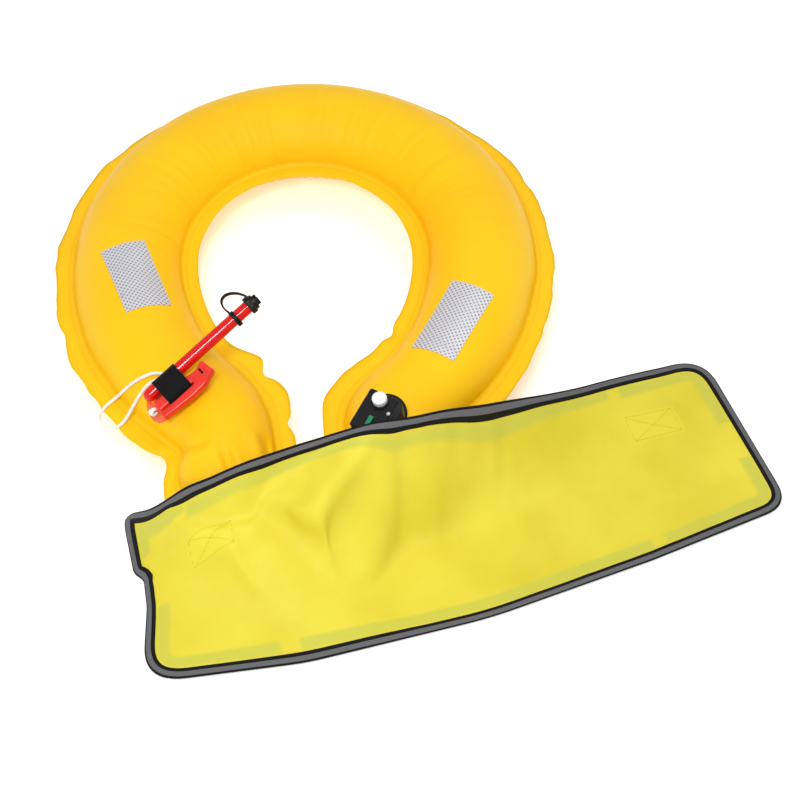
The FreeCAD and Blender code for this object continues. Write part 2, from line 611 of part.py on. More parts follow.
# ---- cords ---------------------------------------------------------------------------
def cord_tube(label, route, radius):
    """Straight runs joined by tangent arcs, each as large as its two runs allow."""
    spots = [Vector(*p) for p in route]
    edges, here, radii = [], spots[0], []
    for before, spot, after in zip(spots, spots[1:], spots[2:]):
        a, b = (spot - before), (after - spot)
        turn = a.getAngle(b)
        setback = 0.45 * min(a.Length, b.Length)
        radii.append(setback / math.tan(turn / 2))
        entry = spot - a.normalize() * setback
        leave = spot + b.normalize() * setback
        middle = (entry + leave) * 0.5
        bend = radii[-1] * (1 / math.cos(turn / 2) - 1)
        crown = spot + (middle - spot).normalize() * bend
        edges += [Part.LineSegment(here, entry).toShape(), Part.Arc(entry, crown, leave).toShape()]
        here = leave
    edges.append(Part.LineSegment(here, spots[-1]).toShape())
    path = Part.Wire(edges)
    first = spots[1] - spots[0]
    profile = Part.Wire([Part.makeCircle(radius, spots[0], first)])
    pipe = path.makePipeShell([profile], True, False)
    print(label, "length", round(path.Length, 1), "radii", [round(r) for r in radii],
          "fill", round(pipe.Volume / (math.pi * radius ** 2 * path.Length), 4))
    return node(label, solid(f"{label}_shape", pipe))


WHISTLE_CORD = [
    (-247, -100, 103.5), (-257, -95, 101), (-269, -96, 97.5), (-286, -97, 85), (-304, -97, 62),
    (-317, -106, 57), (-321, -120, 56), (-315, -132, 56), (-303, -136, 57), (-292, -129, 61),
    (-283, -120, 75), (-274, -112, 87), (-265, -105, 96), (-253, -104, 102),
]
cord_tube("whistle_cord", WHISTLE_CORD, dim("cord_radius"))
lever_tip = at(inflator, PIVOT_X - 1, PIVOT_Y - 32.8, AXIS_Z).Base
PULL_CORD = [tuple(lever_tip), (-64, -190, 76), (-74, -200, 54), (-82, -210, 33), (-89, -224, 14),
             (-96, -244, 5), (-104, -268, 5)]
cord_tube("pull_cord", PULL_CORD, 1.5)
HANDLE_RADIUS, HANDLE_LENGTH = 5, 30
cord_end, cord_before = (Vector(*spot) for spot in PULL_CORD[:-3:-1])
along = (cord_end - cord_before).normalize()
handle_frame = Placement(cord_end + along * (HANDLE_RADIUS + 0.1), Rotation(Vector(1, 0, 0), along))
node("pull_handle", add("Cylinder", "handle_bar",
                        at(handle_frame, 0, HANDLE_LENGTH / 2, 0, Vector(1, 0, 0), 90),
                        Radius=HANDLE_RADIUS, Height=HANDLE_LENGTH))

# ---- write ---------------------------------------------------------------------------
doc.recompute()
for item in doc.Objects:
    if "Invalid" in item.State or "Error" in item.State:
        raise RuntimeError(f"{item.Name} failed: {item.State}")
os.makedirs("parts", exist_ok=True)
for item in parts:
    if item.Shape.isNull() or not item.Shape.isValid():
        raise RuntimeError(f"{item.Label} has no valid shape")
    item.Shape.exportStep(f"parts/{item.Label}.step")
    box = item.Shape.BoundBox
    print(f"{item.Label:24s} solids {len(item.Shape.Solids)} volume {item.Shape.Volume:10.1f} "
          f"x {box.XMin:7.1f} {box.XMax:7.1f} y {box.YMin:7.1f} {box.YMax:7.1f} "
          f"z {box.ZMin:6.1f} {box.ZMax:6.1f}")
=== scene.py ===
"""Inflatable belt-pack life jacket with its cover laid open: the visual model, in metres.

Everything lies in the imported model's frame: +Z up, the jacket on the floor. Lengths named
with _MM are millimetres in a local frame of a fitting.
"""
import json
import math

import bmesh
import bpy
import numpy as np
from mathutils import Matrix, Vector
from mathutils.bvhtree import BVHTree
from mathutils.interpolate import poly_3d_calc


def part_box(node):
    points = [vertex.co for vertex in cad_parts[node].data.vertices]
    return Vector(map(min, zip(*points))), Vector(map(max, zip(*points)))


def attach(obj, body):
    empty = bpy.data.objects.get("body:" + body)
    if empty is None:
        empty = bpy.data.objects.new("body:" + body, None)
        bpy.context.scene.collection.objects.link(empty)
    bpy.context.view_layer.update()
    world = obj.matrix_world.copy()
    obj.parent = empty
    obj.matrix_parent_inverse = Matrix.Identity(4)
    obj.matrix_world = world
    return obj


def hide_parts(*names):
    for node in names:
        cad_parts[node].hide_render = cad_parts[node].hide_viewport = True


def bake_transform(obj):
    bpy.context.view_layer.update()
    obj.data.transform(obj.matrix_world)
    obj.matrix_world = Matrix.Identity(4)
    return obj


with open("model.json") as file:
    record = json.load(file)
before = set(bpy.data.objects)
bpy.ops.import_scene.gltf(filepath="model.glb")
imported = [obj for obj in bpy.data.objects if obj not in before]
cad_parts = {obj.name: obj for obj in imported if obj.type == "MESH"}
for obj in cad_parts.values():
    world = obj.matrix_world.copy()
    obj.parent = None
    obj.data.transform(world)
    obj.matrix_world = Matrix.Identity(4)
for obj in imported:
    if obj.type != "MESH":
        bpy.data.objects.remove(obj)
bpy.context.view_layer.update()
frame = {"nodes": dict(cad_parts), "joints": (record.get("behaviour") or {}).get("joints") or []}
nodes = frame["nodes"]
joints = {joint["name"]: joint for joint in frame["joints"]}
MM = 0.001


# ---- camera, floor and light -----------------------------------------------------------
TARGET = Vector((-0.003, -0.048, 0))
CAMERA_DISTANCE = 2.0
CAMERA_HEIGHT = math.radians(50)
LENS_MM = 81.45
SENSOR_MM = 36
WORLD_STRENGTH, FLOOR_GLOW = 0.56, 0.35
FLOOR_REACH, FLOOR_DROP = 6, 0.0006
# studio lights: (place, size, watts)
LIGHTS = {"front": ((-0.27, -1.11, 1.72), 0.5, 20), "overhead": ((0.5, 0.6, 2.2), 1.4, 10)}


def make_camera():
    data = bpy.data.cameras.new("camera")
    data.sensor_width = SENSOR_MM
    data.lens = LENS_MM
    camera = bpy.data.objects.new("camera", data)
    camera.location = TARGET + CAMERA_DISTANCE * Vector(
        (0, -math.cos(CAMERA_HEIGHT), math.sin(CAMERA_HEIGHT)))
    camera.rotation_euler = (math.pi / 2 - CAMERA_HEIGHT, 0, 0)
    bpy.context.scene.collection.objects.link(camera)
    bpy.context.scene.camera = camera


def area_light(name, place, size, energy):
    data = bpy.data.lights.new(name, "AREA")
    data.size = size
    data.energy = energy
    lamp = bpy.data.objects.new(name, data)
    lamp.location = place
    lamp.rotation_euler = (TARGET - Vector(place)).to_track_quat("-Z", "Y").to_euler()
    bpy.context.scene.collection.objects.link(lamp)


def square_mesh(name, reach):
    mesh = bpy.data.meshes.new(name)
    mesh.from_pydata([(-reach, -reach, 0), (reach, -reach, 0), (reach, reach, 0),
                      (-reach, reach, 0)], [], [(0, 1, 2, 3)])
    return mesh


def make_studio():
    world = bpy.data.worlds.new("studio")
    world.use_nodes = True
    background = world.node_tree.nodes["Background"]
    background.inputs["Color"].default_value = (1, 1, 1, 1)
    background.inputs["Strength"].default_value = WORLD_STRENGTH
    bpy.context.scene.world = world
    bpy.context.scene.view_settings.view_transform = "Standard"
    for name, (place, size, watts) in LIGHTS.items():
        area_light(name, place, size, watts)
    floor = bpy.data.objects.new("floor", square_mesh("floor", FLOOR_REACH))
    floor.location.z = -FLOOR_DROP
    bpy.context.scene.collection.objects.link(floor)
    floor.data.materials.append(MATERIALS["floor"])


# ---- materials -------------------------------------------------------------------------
def add_node(tree, kind, output=0, **values):
    """A shader node; each value is a property, a socket's default or the socket to link."""
    made = tree.nodes.new(f"ShaderNode{kind}")
    for key, value in values.items():
        if hasattr(made, key):
            setattr(made, key, value)
            continue
        name = key.replace("_", " ")
        socket = made.inputs[int(name[1:])] if name[0] == "i" and name[1:].isdigit() \
            else made.inputs[name]
        if isinstance(value, bpy.types.NodeSocket):
            tree.links.new(value, socket)
        else:
            socket.default_value = value
    return made.outputs[output]


def principled(name, color, roughness, **values):
    """A material with its Principled shader; returns the material, its tree and shader."""
    material = bpy.data.materials.new(name)
    material.use_nodes = True
    tree = material.node_tree
    shader = tree.nodes["Principled BSDF"]
    shader.inputs["Base Color"].default_value = (*color, 1)
    shader.inputs["Roughness"].default_value = roughness
    for key, value in values.items():
        shader.inputs[key.replace("_", " ")].default_value = value
    return material, tree, shader


def object_place(tree, output="Object"):
    return tree.nodes.new("ShaderNodeTexCoord").outputs[output]


def ramp(tree, factor, stops, interpolation="LINEAR"):
    """A colour ramp; stops are (place, rgb) pairs."""
    made = tree.nodes.new("ShaderNodeValToRGB")
    made.color_ramp.interpolation = interpolation
    elements = made.color_ramp.elements
    while len(elements) < len(stops):
        elements.new(0.5)
    for element, (place, color) in zip(elements, stops):
        element.position = place
        element.color = (*color, 1)
    tree.links.new(factor, made.inputs["Fac"])
    return made.outputs["Color"]


def mix(tree, factor, a, b):
    """Two colours blended; each is a socket or an rgb triple."""
    a, b = (value if isinstance(value, bpy.types.NodeSocket) else (*value, 1) for value in (a, b))
    return add_node(tree, "Mix", output=2, data_type="RGBA", i0=factor, i6=a, i7=b)


def maths(tree, operation, a, b=0.0, c=0.0):
    return add_node(tree, "Math", operation=operation, i0=a, i1=b, i2=c)


def colour_by(tree, shader, factor, a, b):
    """Let the base colour run from a to b with the factor."""
    tree.links.new(mix(tree, factor, a, b), shader.inputs["Base Color"])


def roughness_by(tree, shader, value, low, high):
    """Let the roughness run from low to high with the value."""
    spread = add_node(tree, "MapRange", Value=value, To_Min=low, To_Max=high)
    tree.links.new(spread, shader.inputs["Roughness"])


def ramp_value(tree, value, low, high):
    return add_node(tree, "MapRange", Value=value, From_Min=low, From_Max=high)


def split(tree, vector):
    """The first two parts of a vector."""
    parts = tree.nodes.new("ShaderNodeSeparateXYZ")
    tree.links.new(vector, parts.inputs[0])
    return parts.outputs[0], parts.outputs[1]


def bump(tree, shader, height, distance, strength=1.0, under=None):
    values = {"Height": height, "Distance": distance, "Strength": strength}
    if under is not None:
        values["Normal"] = under
    normal = add_node(tree, "Bump", **values)
    tree.links.new(normal, shader.inputs["Normal"])
    return normal


def noise(tree, place, scale, detail=3.0, roughness=0.5):
    return add_node(tree, "TexNoise", Vector=place, Scale=scale, Detail=detail,
                    Roughness=roughness)


def weave(tree, place, pitch):
    """Height of a plain weave with the given thread pitch, from a place in metres."""
    scaled = add_node(tree, "VectorMath", operation="SCALE", i0=place, Scale=math.pi / pitch)
    warp, weft = (maths(tree, "ABSOLUTE", maths(tree, "SINE", part))
                  for part in split(tree, scaled))
    return maths(tree, "MULTIPLY", warp, weft)


FABRIC_THREAD = 0.0005


def coated_fabric(name, color, shade, roughness):
    """Coated woven nylon: fine weave, faint mottling, slightly uneven gloss."""
    material, tree, shader = principled(name, color, roughness)
    shader.inputs["Specular IOR Level"].default_value = 0.2
    place = object_place(tree)
    mottle = noise(tree, place, 9, 4)
    colour_by(tree, shader, ramp_value(tree, mottle, 0.35, 0.7), color, shade)
    roughness_by(tree, shader, noise(tree, place, 60, 2), roughness - 0.06, roughness + 0.08)
    crease = bump(tree, shader, noise(tree, place, 45, 5, 0.6), 0.0016, 0.35)
    bump(tree, shader, weave(tree, place, FABRIC_THREAD), 0.00012, 0.5, crease)
    return material, tree, shader


WELD_PLACE, WELD_SHARPNESS, WELD_DEPTH = 0.30, 9.0, 0.45


def bladder_material():
    """Orange nylon with a darker weld line part of the way over the flange."""
    color, shade, weld_color = (1.0, 0.60, 0.004), (1.0, 0.555, 0.003), (0.98, 0.44, 0.0)
    material, tree, shader = coated_fabric("coated_nylon_orange", color, shade, 0.42)
    mottle = shader.inputs["Base Color"].links[0].from_socket
    weld = add_node(tree, "Attribute", output=2, attribute_name="weld")
    gap = maths(tree, "ABSOLUTE", maths(tree, "SUBTRACT", weld, WELD_PLACE))
    line = maths(tree, "SUBTRACT", 1.0, maths(tree, "MULTIPLY", gap, WELD_SHARPNESS))
    line = maths(tree, "MULTIPLY", maths(tree, "MAXIMUM", line, 0.0), WELD_DEPTH)
    colour_by(tree, shader, line, mottle, weld_color)
    return material


def cover_material():
    """Neon nylon; the tape and the orange lobes beneath it show through faintly."""
    color, shade = (0.80, 0.69, 0.055), (0.70, 0.585, 0.032)
    material, tree, shader = coated_fabric("coated_nylon_yellow", color, shade, 0.40)
    result = shader.inputs["Base Color"].links[0].from_socket
    tints = {"lobe_below": ((0.98, 0.62, 0.02), 0.55), "tape_below": ((0.56, 0.56, 0.075), 0.75),
             "loop_below": ((0.80, 0.72, 0.05), 0.5)}
    for name, (tint, strength) in tints.items():
        below = add_node(tree, "Attribute", output=2, attribute_name=name)
        result = mix(tree, maths(tree, "MULTIPLY", below, strength), result, tint)
    tree.links.new(result, shader.inputs["Base Color"])
    return material


def binding_material():
    """Grey reflective tape with black selvedges; across runs 0 to 1 over its width."""
    material, tree, shader = principled("binding_tape", (0.2, 0.2, 0.21), 0.55)
    across = add_node(tree, "Attribute", output=2, attribute_name="across")
    shader.inputs["Specular IOR Level"].default_value = 0.15
    black, grey = (0.005, 0.005, 0.0055), (0.135, 0.135, 0.145)
    tree.links.new(ramp(tree, across, [(0, black), (0.44, grey), (0.91, black)], "CONSTANT"),
                   shader.inputs["Base Color"])
    bump(tree, shader, weave(tree, object_place(tree), 0.0011), 0.0003, 0.8)
    return material


DOT_PITCH = 0.0056


def reflective_material():
    """Retro-reflective tape: light grey with a diagonal lattice of small dark dots."""
    material, tree, shader = principled("reflective_tape", (0.6, 0.6, 0.63), 0.45, Metallic=0.25)
    across, along = (maths(tree, "COSINE", maths(tree, "MULTIPLY", part, 2 * math.pi / DOT_PITCH))
                     for part in split(tree, object_place(tree, "UV")))
    dot = maths(tree, "MULTIPLY", across, along)
    light, dark, scuff = (0.67, 0.66, 0.69), (0.20, 0.20, 0.24), (0.40, 0.40, 0.43)
    dotted = ramp(tree, dot, [(0.30, light), (0.62, dark)])
    place = object_place(tree)
    worn = ramp_value(tree, noise(tree, place, 42, 5, 0.7), 0.60, 0.72)
    colour_by(tree, shader, maths(tree, "MULTIPLY", worn, 0.55), dotted, scuff)
    crease = bump(tree, shader, noise(tree, place, 60, 4, 0.65), 0.002, 0.35)
    bump(tree, shader, dot, 0.0002, 0.3, crease)
    return material


def moulded(name, color, roughness, grain=0.0, coat=0.0, **values):
    """Moulded plastic or rubber: fine grain, slight unevenness of gloss and colour."""
    material, tree, shader = principled(name, color, roughness, **values)
    shader.inputs["Coat Weight"].default_value = coat
    shader.inputs["Coat Roughness"].default_value = 0.08
    place = object_place(tree)
    shade = tuple(0.82 * part for part in color)
    colour_by(tree, shader, ramp_value(tree, noise(tree, place, 70), 0.35, 0.75), color, shade)
    roughness_by(tree, shader, noise(tree, place, 260, 2), max(roughness - 0.05, 0.03),
                 roughness + 0.07)
    if grain:
        bump(tree, shader, noise(tree, place, 900, 2), grain, 0.5)
    return material


def ribbed_fabric(name, color, pitch, roughness):
    """Knitted or webbed tape with ribs along its length, from its UV in metres."""
    material, tree, shader = principled(name, color, roughness)
    shader.inputs["Specular IOR Level"].default_value = 0.2
    bump(tree, shader, weave(tree, object_place(tree, "UV"), pitch), 0.0005, 0.9)
    fleck = noise(tree, object_place(tree), 500, 2)
    lighter = tuple(2.2 * part + 0.004 for part in color)
    colour_by(tree, shader, ramp_value(tree, fleck, 0.5, 0.8), color, lighter)
    return material


def cord_material():
    material, tree, shader = principled("braided_cord", (0.86, 0.86, 0.85), 0.75,
                                        Sheen_Weight=0.3)
    place = object_place(tree)
    soil = ramp_value(tree, noise(tree, place, 120, 3), 0.4, 0.75)
    colour_by(tree, shader, soil, (0.88, 0.88, 0.87), (0.74, 0.73, 0.70))
    bump(tree, shader, noise(tree, place, 1500, 2), 0.0004, 0.5)
    return material


def steel(name, color, roughness):
    material, tree, shader = principled(name, color, roughness, Metallic=1.0)
    place = object_place(tree)
    roughness_by(tree, shader, noise(tree, place, 300, 4), roughness - 0.08, roughness + 0.12)
    bump(tree, shader, noise(tree, place, 700, 3), 0.0002, 0.3)
    return material


def floor_material():
    light, dim = (0.93, 0.93, 0.93), (0.915, 0.915, 0.915)
    material, tree, shader = principled("pale_floor", light, 0.9)
    shader.inputs["Emission Color"].default_value = (1, 1, 1, 1)
    shader.inputs["Emission Strength"].default_value = FLOOR_GLOW
    colour_by(tree, shader, noise(tree, object_place(tree), 3, 2), light, dim)
    return material


MATERIALS = {
    "bladder": bladder_material(),
    "cover": cover_material(),
    "binding": binding_material(),
    "reflective": reflective_material(),
    "flange_red": moulded("translucent_red", (0.95, 0.13, 0.01), 0.3, 0, 0.3),
    "tube_red": moulded("glossy_red", (0.74, 0.004, 0.004), 0.09, 0, 0.1,
                        Specular_IOR_Level=0.4),
    "whistle": moulded("whistle_red", (0.86, 0.022, 0.010), 0.3, 0.00005, 0.3),
    "black_plastic": moulded("black_plastic", (0.006, 0.006, 0.007), 0.36, 0.0001, 0.0,
                             Specular_IOR_Level=0.25),
    "black_rubber": moulded("black_rubber", (0.007, 0.007, 0.007), 0.5, 0.00015, 0.0,
                            Specular_IOR_Level=0.2),
    "white_plastic": moulded("white_plastic", (0.88, 0.88, 0.86), 0.3, 0.00004, 0.2),
    "green_plastic": moulded("green_plastic", (0.0, 0.22, 0.09), 0.32, 0.00004, 0.2),
    "elastic": ribbed_fabric("knitted_elastic", (0.004, 0.004, 0.0045), 0.0011, 0.7),
    "webbing": ribbed_fabric("black_webbing", (0.03, 0.03, 0.03), 0.0016, 0.75),
    "hook": ribbed_fabric("hook_tape", (0.03, 0.03, 0.03), 0.0009, 0.85),
    "cord": cord_material(),
    "steel": steel("plain_steel", (0.62, 0.62, 0.64), 0.3),
    "bottle": steel("zinc_plate", (0.66, 0.67, 0.70), 0.36),
    "thread_black": moulded("black_thread", (0.012, 0.012, 0.012), 0.8),
    "thread_yellow": moulded("yellow_thread", (0.62, 0.52, 0.03), 0.7),
    "floor": floor_material(),
}


# ---- mesh helpers ----------------------------------------------------------------------
def mesh_piece(name, verts, faces, slot, body="jacket", material=None):
    """A smooth-shaded mesh piece that rides on a body."""
    mesh = bpy.data.meshes.new(name)
    mesh.from_pydata([tuple(v) for v in verts], [], [tuple(f) for f in faces])
    mesh.validate()
    mesh.polygons.foreach_set("use_smooth", [True] * len(mesh.polygons))
    piece = bpy.data.objects.new(name, mesh)
    bpy.context.scene.collection.objects.link(piece)
    mesh.materials.append(MATERIALS[material or slot])
    if body is not None:
        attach(piece, body)
    return piece


def float_attribute(piece, name, values):
    attribute = piece.data.attributes.new(name, "FLOAT", "POINT")
    attribute.data.foreach_set("value", np.asarray(values, np.float32).ravel())


def flat_uv(piece, places):
    """UVs in metres, one for each vertex."""
    layer = piece.data.uv_layers.new(name="UVMap")
    for loop in piece.data.loops:
        layer.data[loop.index].uv = places[loop.vertex_index]


def grid_faces(rows, columns, wrap_rows=False, wrap_columns=False, start=0):
    faces = []
    for i in range(rows if wrap_rows else rows - 1):
        for j in range(columns if wrap_columns else columns - 1):
            a, b = i * columns + j, i * columns + (j + 1) % columns
            c, d = ((i + 1) % rows) * columns + (j + 1) % columns, ((i + 1) % rows) * columns + j
            faces.append((start + a, start + b, start + c, start + d))
    return faces


def slab_faces(rows, columns):
    """Faces of a thin slab: an underside grid, a top grid after it and the rim between."""
    count = rows * columns
    faces = [tuple(reversed(f)) for f in grid_faces(rows, columns)]
    faces += grid_faces(rows, columns, start=count)
    rim = list(range(columns)) + [j * columns + columns - 1 for j in range(1, rows)]
    rim += [(rows - 1) * columns + i for i in range(columns - 2, -1, -1)]
    rim += [j * columns for j in range(rows - 2, 0, -1)]
    return faces + [(a, b, b + count, a + count) for a, b in zip(rim, rim[1:] + rim[:1])]


def weld_close(piece, distance=1e-5):
    work = bmesh.new()
    work.from_mesh(piece.data)
    bmesh.ops.remove_doubles(work, verts=work.verts, dist=distance)
    bmesh.ops.recalc_face_normals(work, faces=work.faces)
    work.to_mesh(piece.data)
    work.free()


def sharpen(piece, degrees=35):
    """Edges sharper than this stay crisp under smooth shading."""
    work = bmesh.new()
    work.from_mesh(piece.data)
    for edge in work.edges:
        if len(edge.link_faces) == 2 and edge.calc_face_angle(0) > math.radians(degrees):
            edge.smooth = False
    work.to_mesh(piece.data)
    work.free()


def bevelled(piece, width, segments=3, degrees=35):
    """Round the piece's sharp edges for good."""
    work = bmesh.new()
    work.from_mesh(piece.data)
    sharp = [e for e in work.edges
             if len(e.link_faces) == 2 and e.calc_face_angle(0) > math.radians(degrees)]
    bmesh.ops.bevel(work, geom=sharp, offset=width, segments=segments, profile=0.5,
                    affect="EDGES", clamp_overlap=True)
    work.to_mesh(piece.data)
    work.free()
    piece.data.polygons.foreach_set("use_smooth", [True] * len(piece.data.polygons))
    sharpen(piece, 40)


def placed(matrix, points_mm):
    """Points of a local frame, in millimetres, in the row frame."""
    return [matrix @ (Vector(p) * MM) for p in points_mm]


def lathe(name, matrix, profile, slot, body, steps=48, radius_rule=None):
    """A turned piece about the local X axis; profile is (x, radius) pairs in millimetres."""
    verts = []
    for x, radius in profile:
        for k in range(steps):
            turn = 2 * math.pi * k / steps
            r = radius_rule(x, radius, turn) if radius_rule else radius
            verts.append((x, r * math.cos(turn), r * math.sin(turn)))
    faces = grid_faces(len(profile), steps, wrap_columns=True)
    faces.append(tuple(reversed(range(steps))))
    faces.append(tuple(range(len(verts) - steps, len(verts))))
    piece = mesh_piece(name, placed(matrix, verts), faces, slot, body)
    weld_close(piece)
    sharpen(piece)
    return piece


def wobble(place, pitch, seed):
    """Smooth noise along a line, about -1 to 1, from seeded values one pitch apart."""
    place = np.asarray(place, float)
    values = np.random.default_rng(seed).uniform(-1, 1, 512)
    spot = place / pitch + 200
    low = np.floor(spot).astype(int)
    part = spot - low
    ease_in = part * part * (3 - 2 * part)
    return values[low % 512] * (1 - ease_in) + values[(low + 1) % 512] * ease_in


def ease(k):
    k = np.clip(k, 0, 1)
    return k * k * (3 - 2 * k)


# ---- local frames of the fittings --------------------------------------------------------
def joint_axis(name):
    return Vector(joints[name]["axis"]).normalized()


def local_frame(x, y, origin):
    z = x.cross(y)
    matrix = Matrix((x, y, z)).transposed().to_4x4()
    matrix.translation = origin
    return matrix


TUBE = local_frame(joint_axis("dust_cap_pull"), -joint_axis("oral_tube_lift"),
                   Vector(joints["oral_tube_lift"]["pos_m"]))
LEVER_PIVOT_MM = Vector((-11.5, -10, 16))
inflator_y = -joint_axis("firing_pin_strike")
inflator_x = inflator_y.cross(-joint_axis("lever_pull"))
INFLATOR = local_frame(inflator_x, inflator_y, Vector((0, 0, 0)))
INFLATOR.translation = Vector(joints["lever_pull"]["pos_m"]) - INFLATOR @ (LEVER_PIVOT_MM * MM)


# ---- cords -------------------------------------------------------------------------------
WHISTLE_CORD = [
    (-0.247, -0.100, 0.1035), (-0.257, -0.095, 0.101), (-0.269, -0.096, 0.0975),
    (-0.286, -0.097, 0.085), (-0.304, -0.097, 0.062), (-0.317, -0.106, 0.057),
    (-0.321, -0.120, 0.056), (-0.315, -0.132, 0.056), (-0.303, -0.136, 0.057),
    (-0.292, -0.129, 0.061), (-0.283, -0.120, 0.075), (-0.274, -0.112, 0.087),
    (-0.265, -0.105, 0.096), (-0.253, -0.104, 0.102),
]
LEVER_TIP = INFLATOR @ (Vector((-12.5, -42.8, 16)) * MM)
PULL_CORD = [
    tuple(LEVER_TIP), (-0.064, -0.190, 0.076), (-0.074, -0.200, 0.054),
    (-0.082, -0.210, 0.033), (-0.089, -0.224, 0.014), (-0.096, -0.244, 0.005),
    (-0.104, -0.268, 0.005),
]
WHISTLE_CORD_RADIUS, PULL_CORD_RADIUS = 0.00175, 0.0015
BRAID_STRANDS = 4
BRAID_PITCH = 0.0075
BRAID_RELIEF = 0.14
BRAID_STEP = 0.0007


def spline_points(route):
    """The smooth line of a NURBS spline that has the route's points as its controls."""
    curve = bpy.data.curves.new("route", "CURVE")
    curve.dimensions = "3D"
    curve.resolution_u = 24
    spline = curve.splines.new("NURBS")
    spline.points.add(len(route) - 1)
    for point, spot in zip(spline.points, route):
        point.co = (*spot, 1)
    spline.order_u = 3
    spline.use_endpoint_u = True
    holder = bpy.data.objects.new("route", curve)
    bpy.context.scene.collection.objects.link(holder)
    bpy.context.view_layer.update()
    mesh = bpy.data.meshes.new_from_object(holder)
    points = np.array([v.co for v in mesh.vertices])
    bpy.data.objects.remove(holder)
    bpy.data.meshes.remove(mesh)
    return points


def even_points(points, step):
    """The line's points again, one step apart."""
    travel = np.concatenate([[0], np.cumsum(np.linalg.norm(np.diff(points, axis=0), axis=1))])
    wanted = np.linspace(0, travel[-1], max(int(travel[-1] / step), 4))
    return np.stack([np.interp(wanted, travel, points[:, k]) for k in range(3)], 1), travel[-1]


def carried_normals(points):
    """A side and an up direction at each point, carried along without twisting."""
    along = np.gradient(points, axis=0)
    along /= np.linalg.norm(along, axis=1)[:, None]
    side = np.cross(along[0], (0, 0, 1))
    side /= np.linalg.norm(side)
    sides = []
    for t in along:
        side = side - t * np.dot(side, t)
        side /= np.linalg.norm(side)
        sides.append(side)
    sides = np.array(sides)
    return sides, np.cross(sides, along)


def braided_cord(name, route, radius):
    """A braided cord as one mesh tube; returns the piece, its line and its length."""
    line, length = even_points(spline_points(route), BRAID_STEP)
    sides, ups = carried_normals(line)
    around = 20
    verts = []
    for i, spot in enumerate(line):
        travel = length * i / (len(line) - 1)
        for k in range(around):
            turn = 2 * math.pi * k / around
            spin = 2 * math.pi * travel / BRAID_PITCH
            lay = abs(math.sin(BRAID_STRANDS / 2 * turn + spin))
            cross_lay = abs(math.sin(BRAID_STRANDS / 2 * turn - spin))
            r = radius * (1 - BRAID_RELIEF + BRAID_RELIEF * max(lay, cross_lay))
            verts.append(spot + r * (sides[i] * math.cos(turn) + ups[i] * math.sin(turn)))
    faces = grid_faces(len(line), around, wrap_columns=True)
    faces.append(tuple(reversed(range(around))))
    faces.append(tuple(range(len(verts) - around, len(verts))))
    return mesh_piece(name, verts, faces, "cord", body=None), line, length


def make_cords():
    whistle_cord, line, length = braided_cord("whistle_cord_braid", WHISTLE_CORD,
                                              WHISTLE_CORD_RADIUS)
    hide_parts("whistle_cord")
    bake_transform(whistle_cord)
    pull_cord, line, length = braided_cord("pull_cord_braid", PULL_CORD, PULL_CORD_RADIUS)
    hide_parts("pull_cord")
    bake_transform(pull_cord)
    handle = pull_handle(line)


def pull_handle(line):
    """The grip at the pull cord's end: a waisted bar with grooves, across the cord."""
    low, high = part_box("pull_handle")
    along = Vector(line[-1] - line[-6]).normalized()
    across = Vector((0, 0, 1)).cross(along).normalized()
    matrix = local_frame(across, along, (low + high) / 2)
    half, radius = 15, 5
    profile = [(-half, 2.6), (-half + 0.6, 3.9), (-half + 2, 4.8)]
    for k in range(7):
        x = -half + 4 + k * 3.6
        waist = radius - 0.9 * math.cos(math.pi * x / (2 * half))
        profile += [(x, waist), (x + 0.6, waist - 0.5), (x + 1.6, waist - 0.5), (x + 2.2, waist)]
    profile += [(half - 2, 4.8), (half - 0.6, 3.9), (half, 2.6)]
    handle = lathe("pull_handle_grip", matrix, profile, "black_plastic", "jacket")
    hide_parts("pull_handle")
    return handle


# ---- bladder -----------------------------------------------------------------------------
RING_CENTRE = np.array((-0.111, 0.119))
RING_TURN = math.radians(2.5)
SEAM_HEIGHT = 0.054
NECK_RADIUS, NECK_RISE = 0.201, 0.216
ARM_RADIUS, ARM_TURN = 0.320, 44
LOBE_RADIUS = 0.090
LEFT_END = {"side": -1, "turn": 44, "run": 0.014}
RIGHT_END = {"side": 1, "turn": 25, "run": 0.0}
TUBE_HALF = (0.060, 0.0538)
LOBE_HALF = (0.052, 0.043)
TAPER_FROM_END, TAPER_LENGTH = 0.230, 0.200
FLANGE_WIDTH = 0.022
FLANGE_HALF = 0.0006
SECTION_STEP = 0.0028


def arm_line(end):
    """Centreline of one half, from the nape to the lobe, in the ring's frame."""
    points = []
    for deg in np.arange(90, 0, -0.5):
        a = math.radians(deg)
        points.append((NECK_RADIUS * math.cos(a), NECK_RISE * math.sin(a)))
    for deg in np.arange(0, ARM_TURN + 0.01, 0.5):
        a = math.radians(deg)
        points.append((NECK_RADIUS - ARM_RADIUS + ARM_RADIUS * math.cos(a),
                       -ARM_RADIUS * math.sin(a)))
    x, y = points[-1]
    heading = -math.pi / 2 - math.radians(ARM_TURN)
    centre = (x - LOBE_RADIUS * math.sin(heading), y + LOBE_RADIUS * math.cos(heading))
    for deg in np.arange(1, end["turn"] + 0.01, 1):
        g = heading + math.radians(deg)
        points.append((centre[0] + LOBE_RADIUS * math.sin(g),
                       centre[1] - LOBE_RADIUS * math.cos(g)))
    if end["run"]:
        g = heading + math.radians(end["turn"])
        x, y = points[-1]
        points.append((x + end["run"] * math.cos(g), y + end["run"] * math.sin(g)))
    return [(end["side"] * x, y) for x, y in points]


def ring_to_row(points):
    c, s = math.cos(RING_TURN), math.sin(RING_TURN)
    return np.asarray(points) @ np.array([[c, s], [-s, c]]) + RING_CENTRE


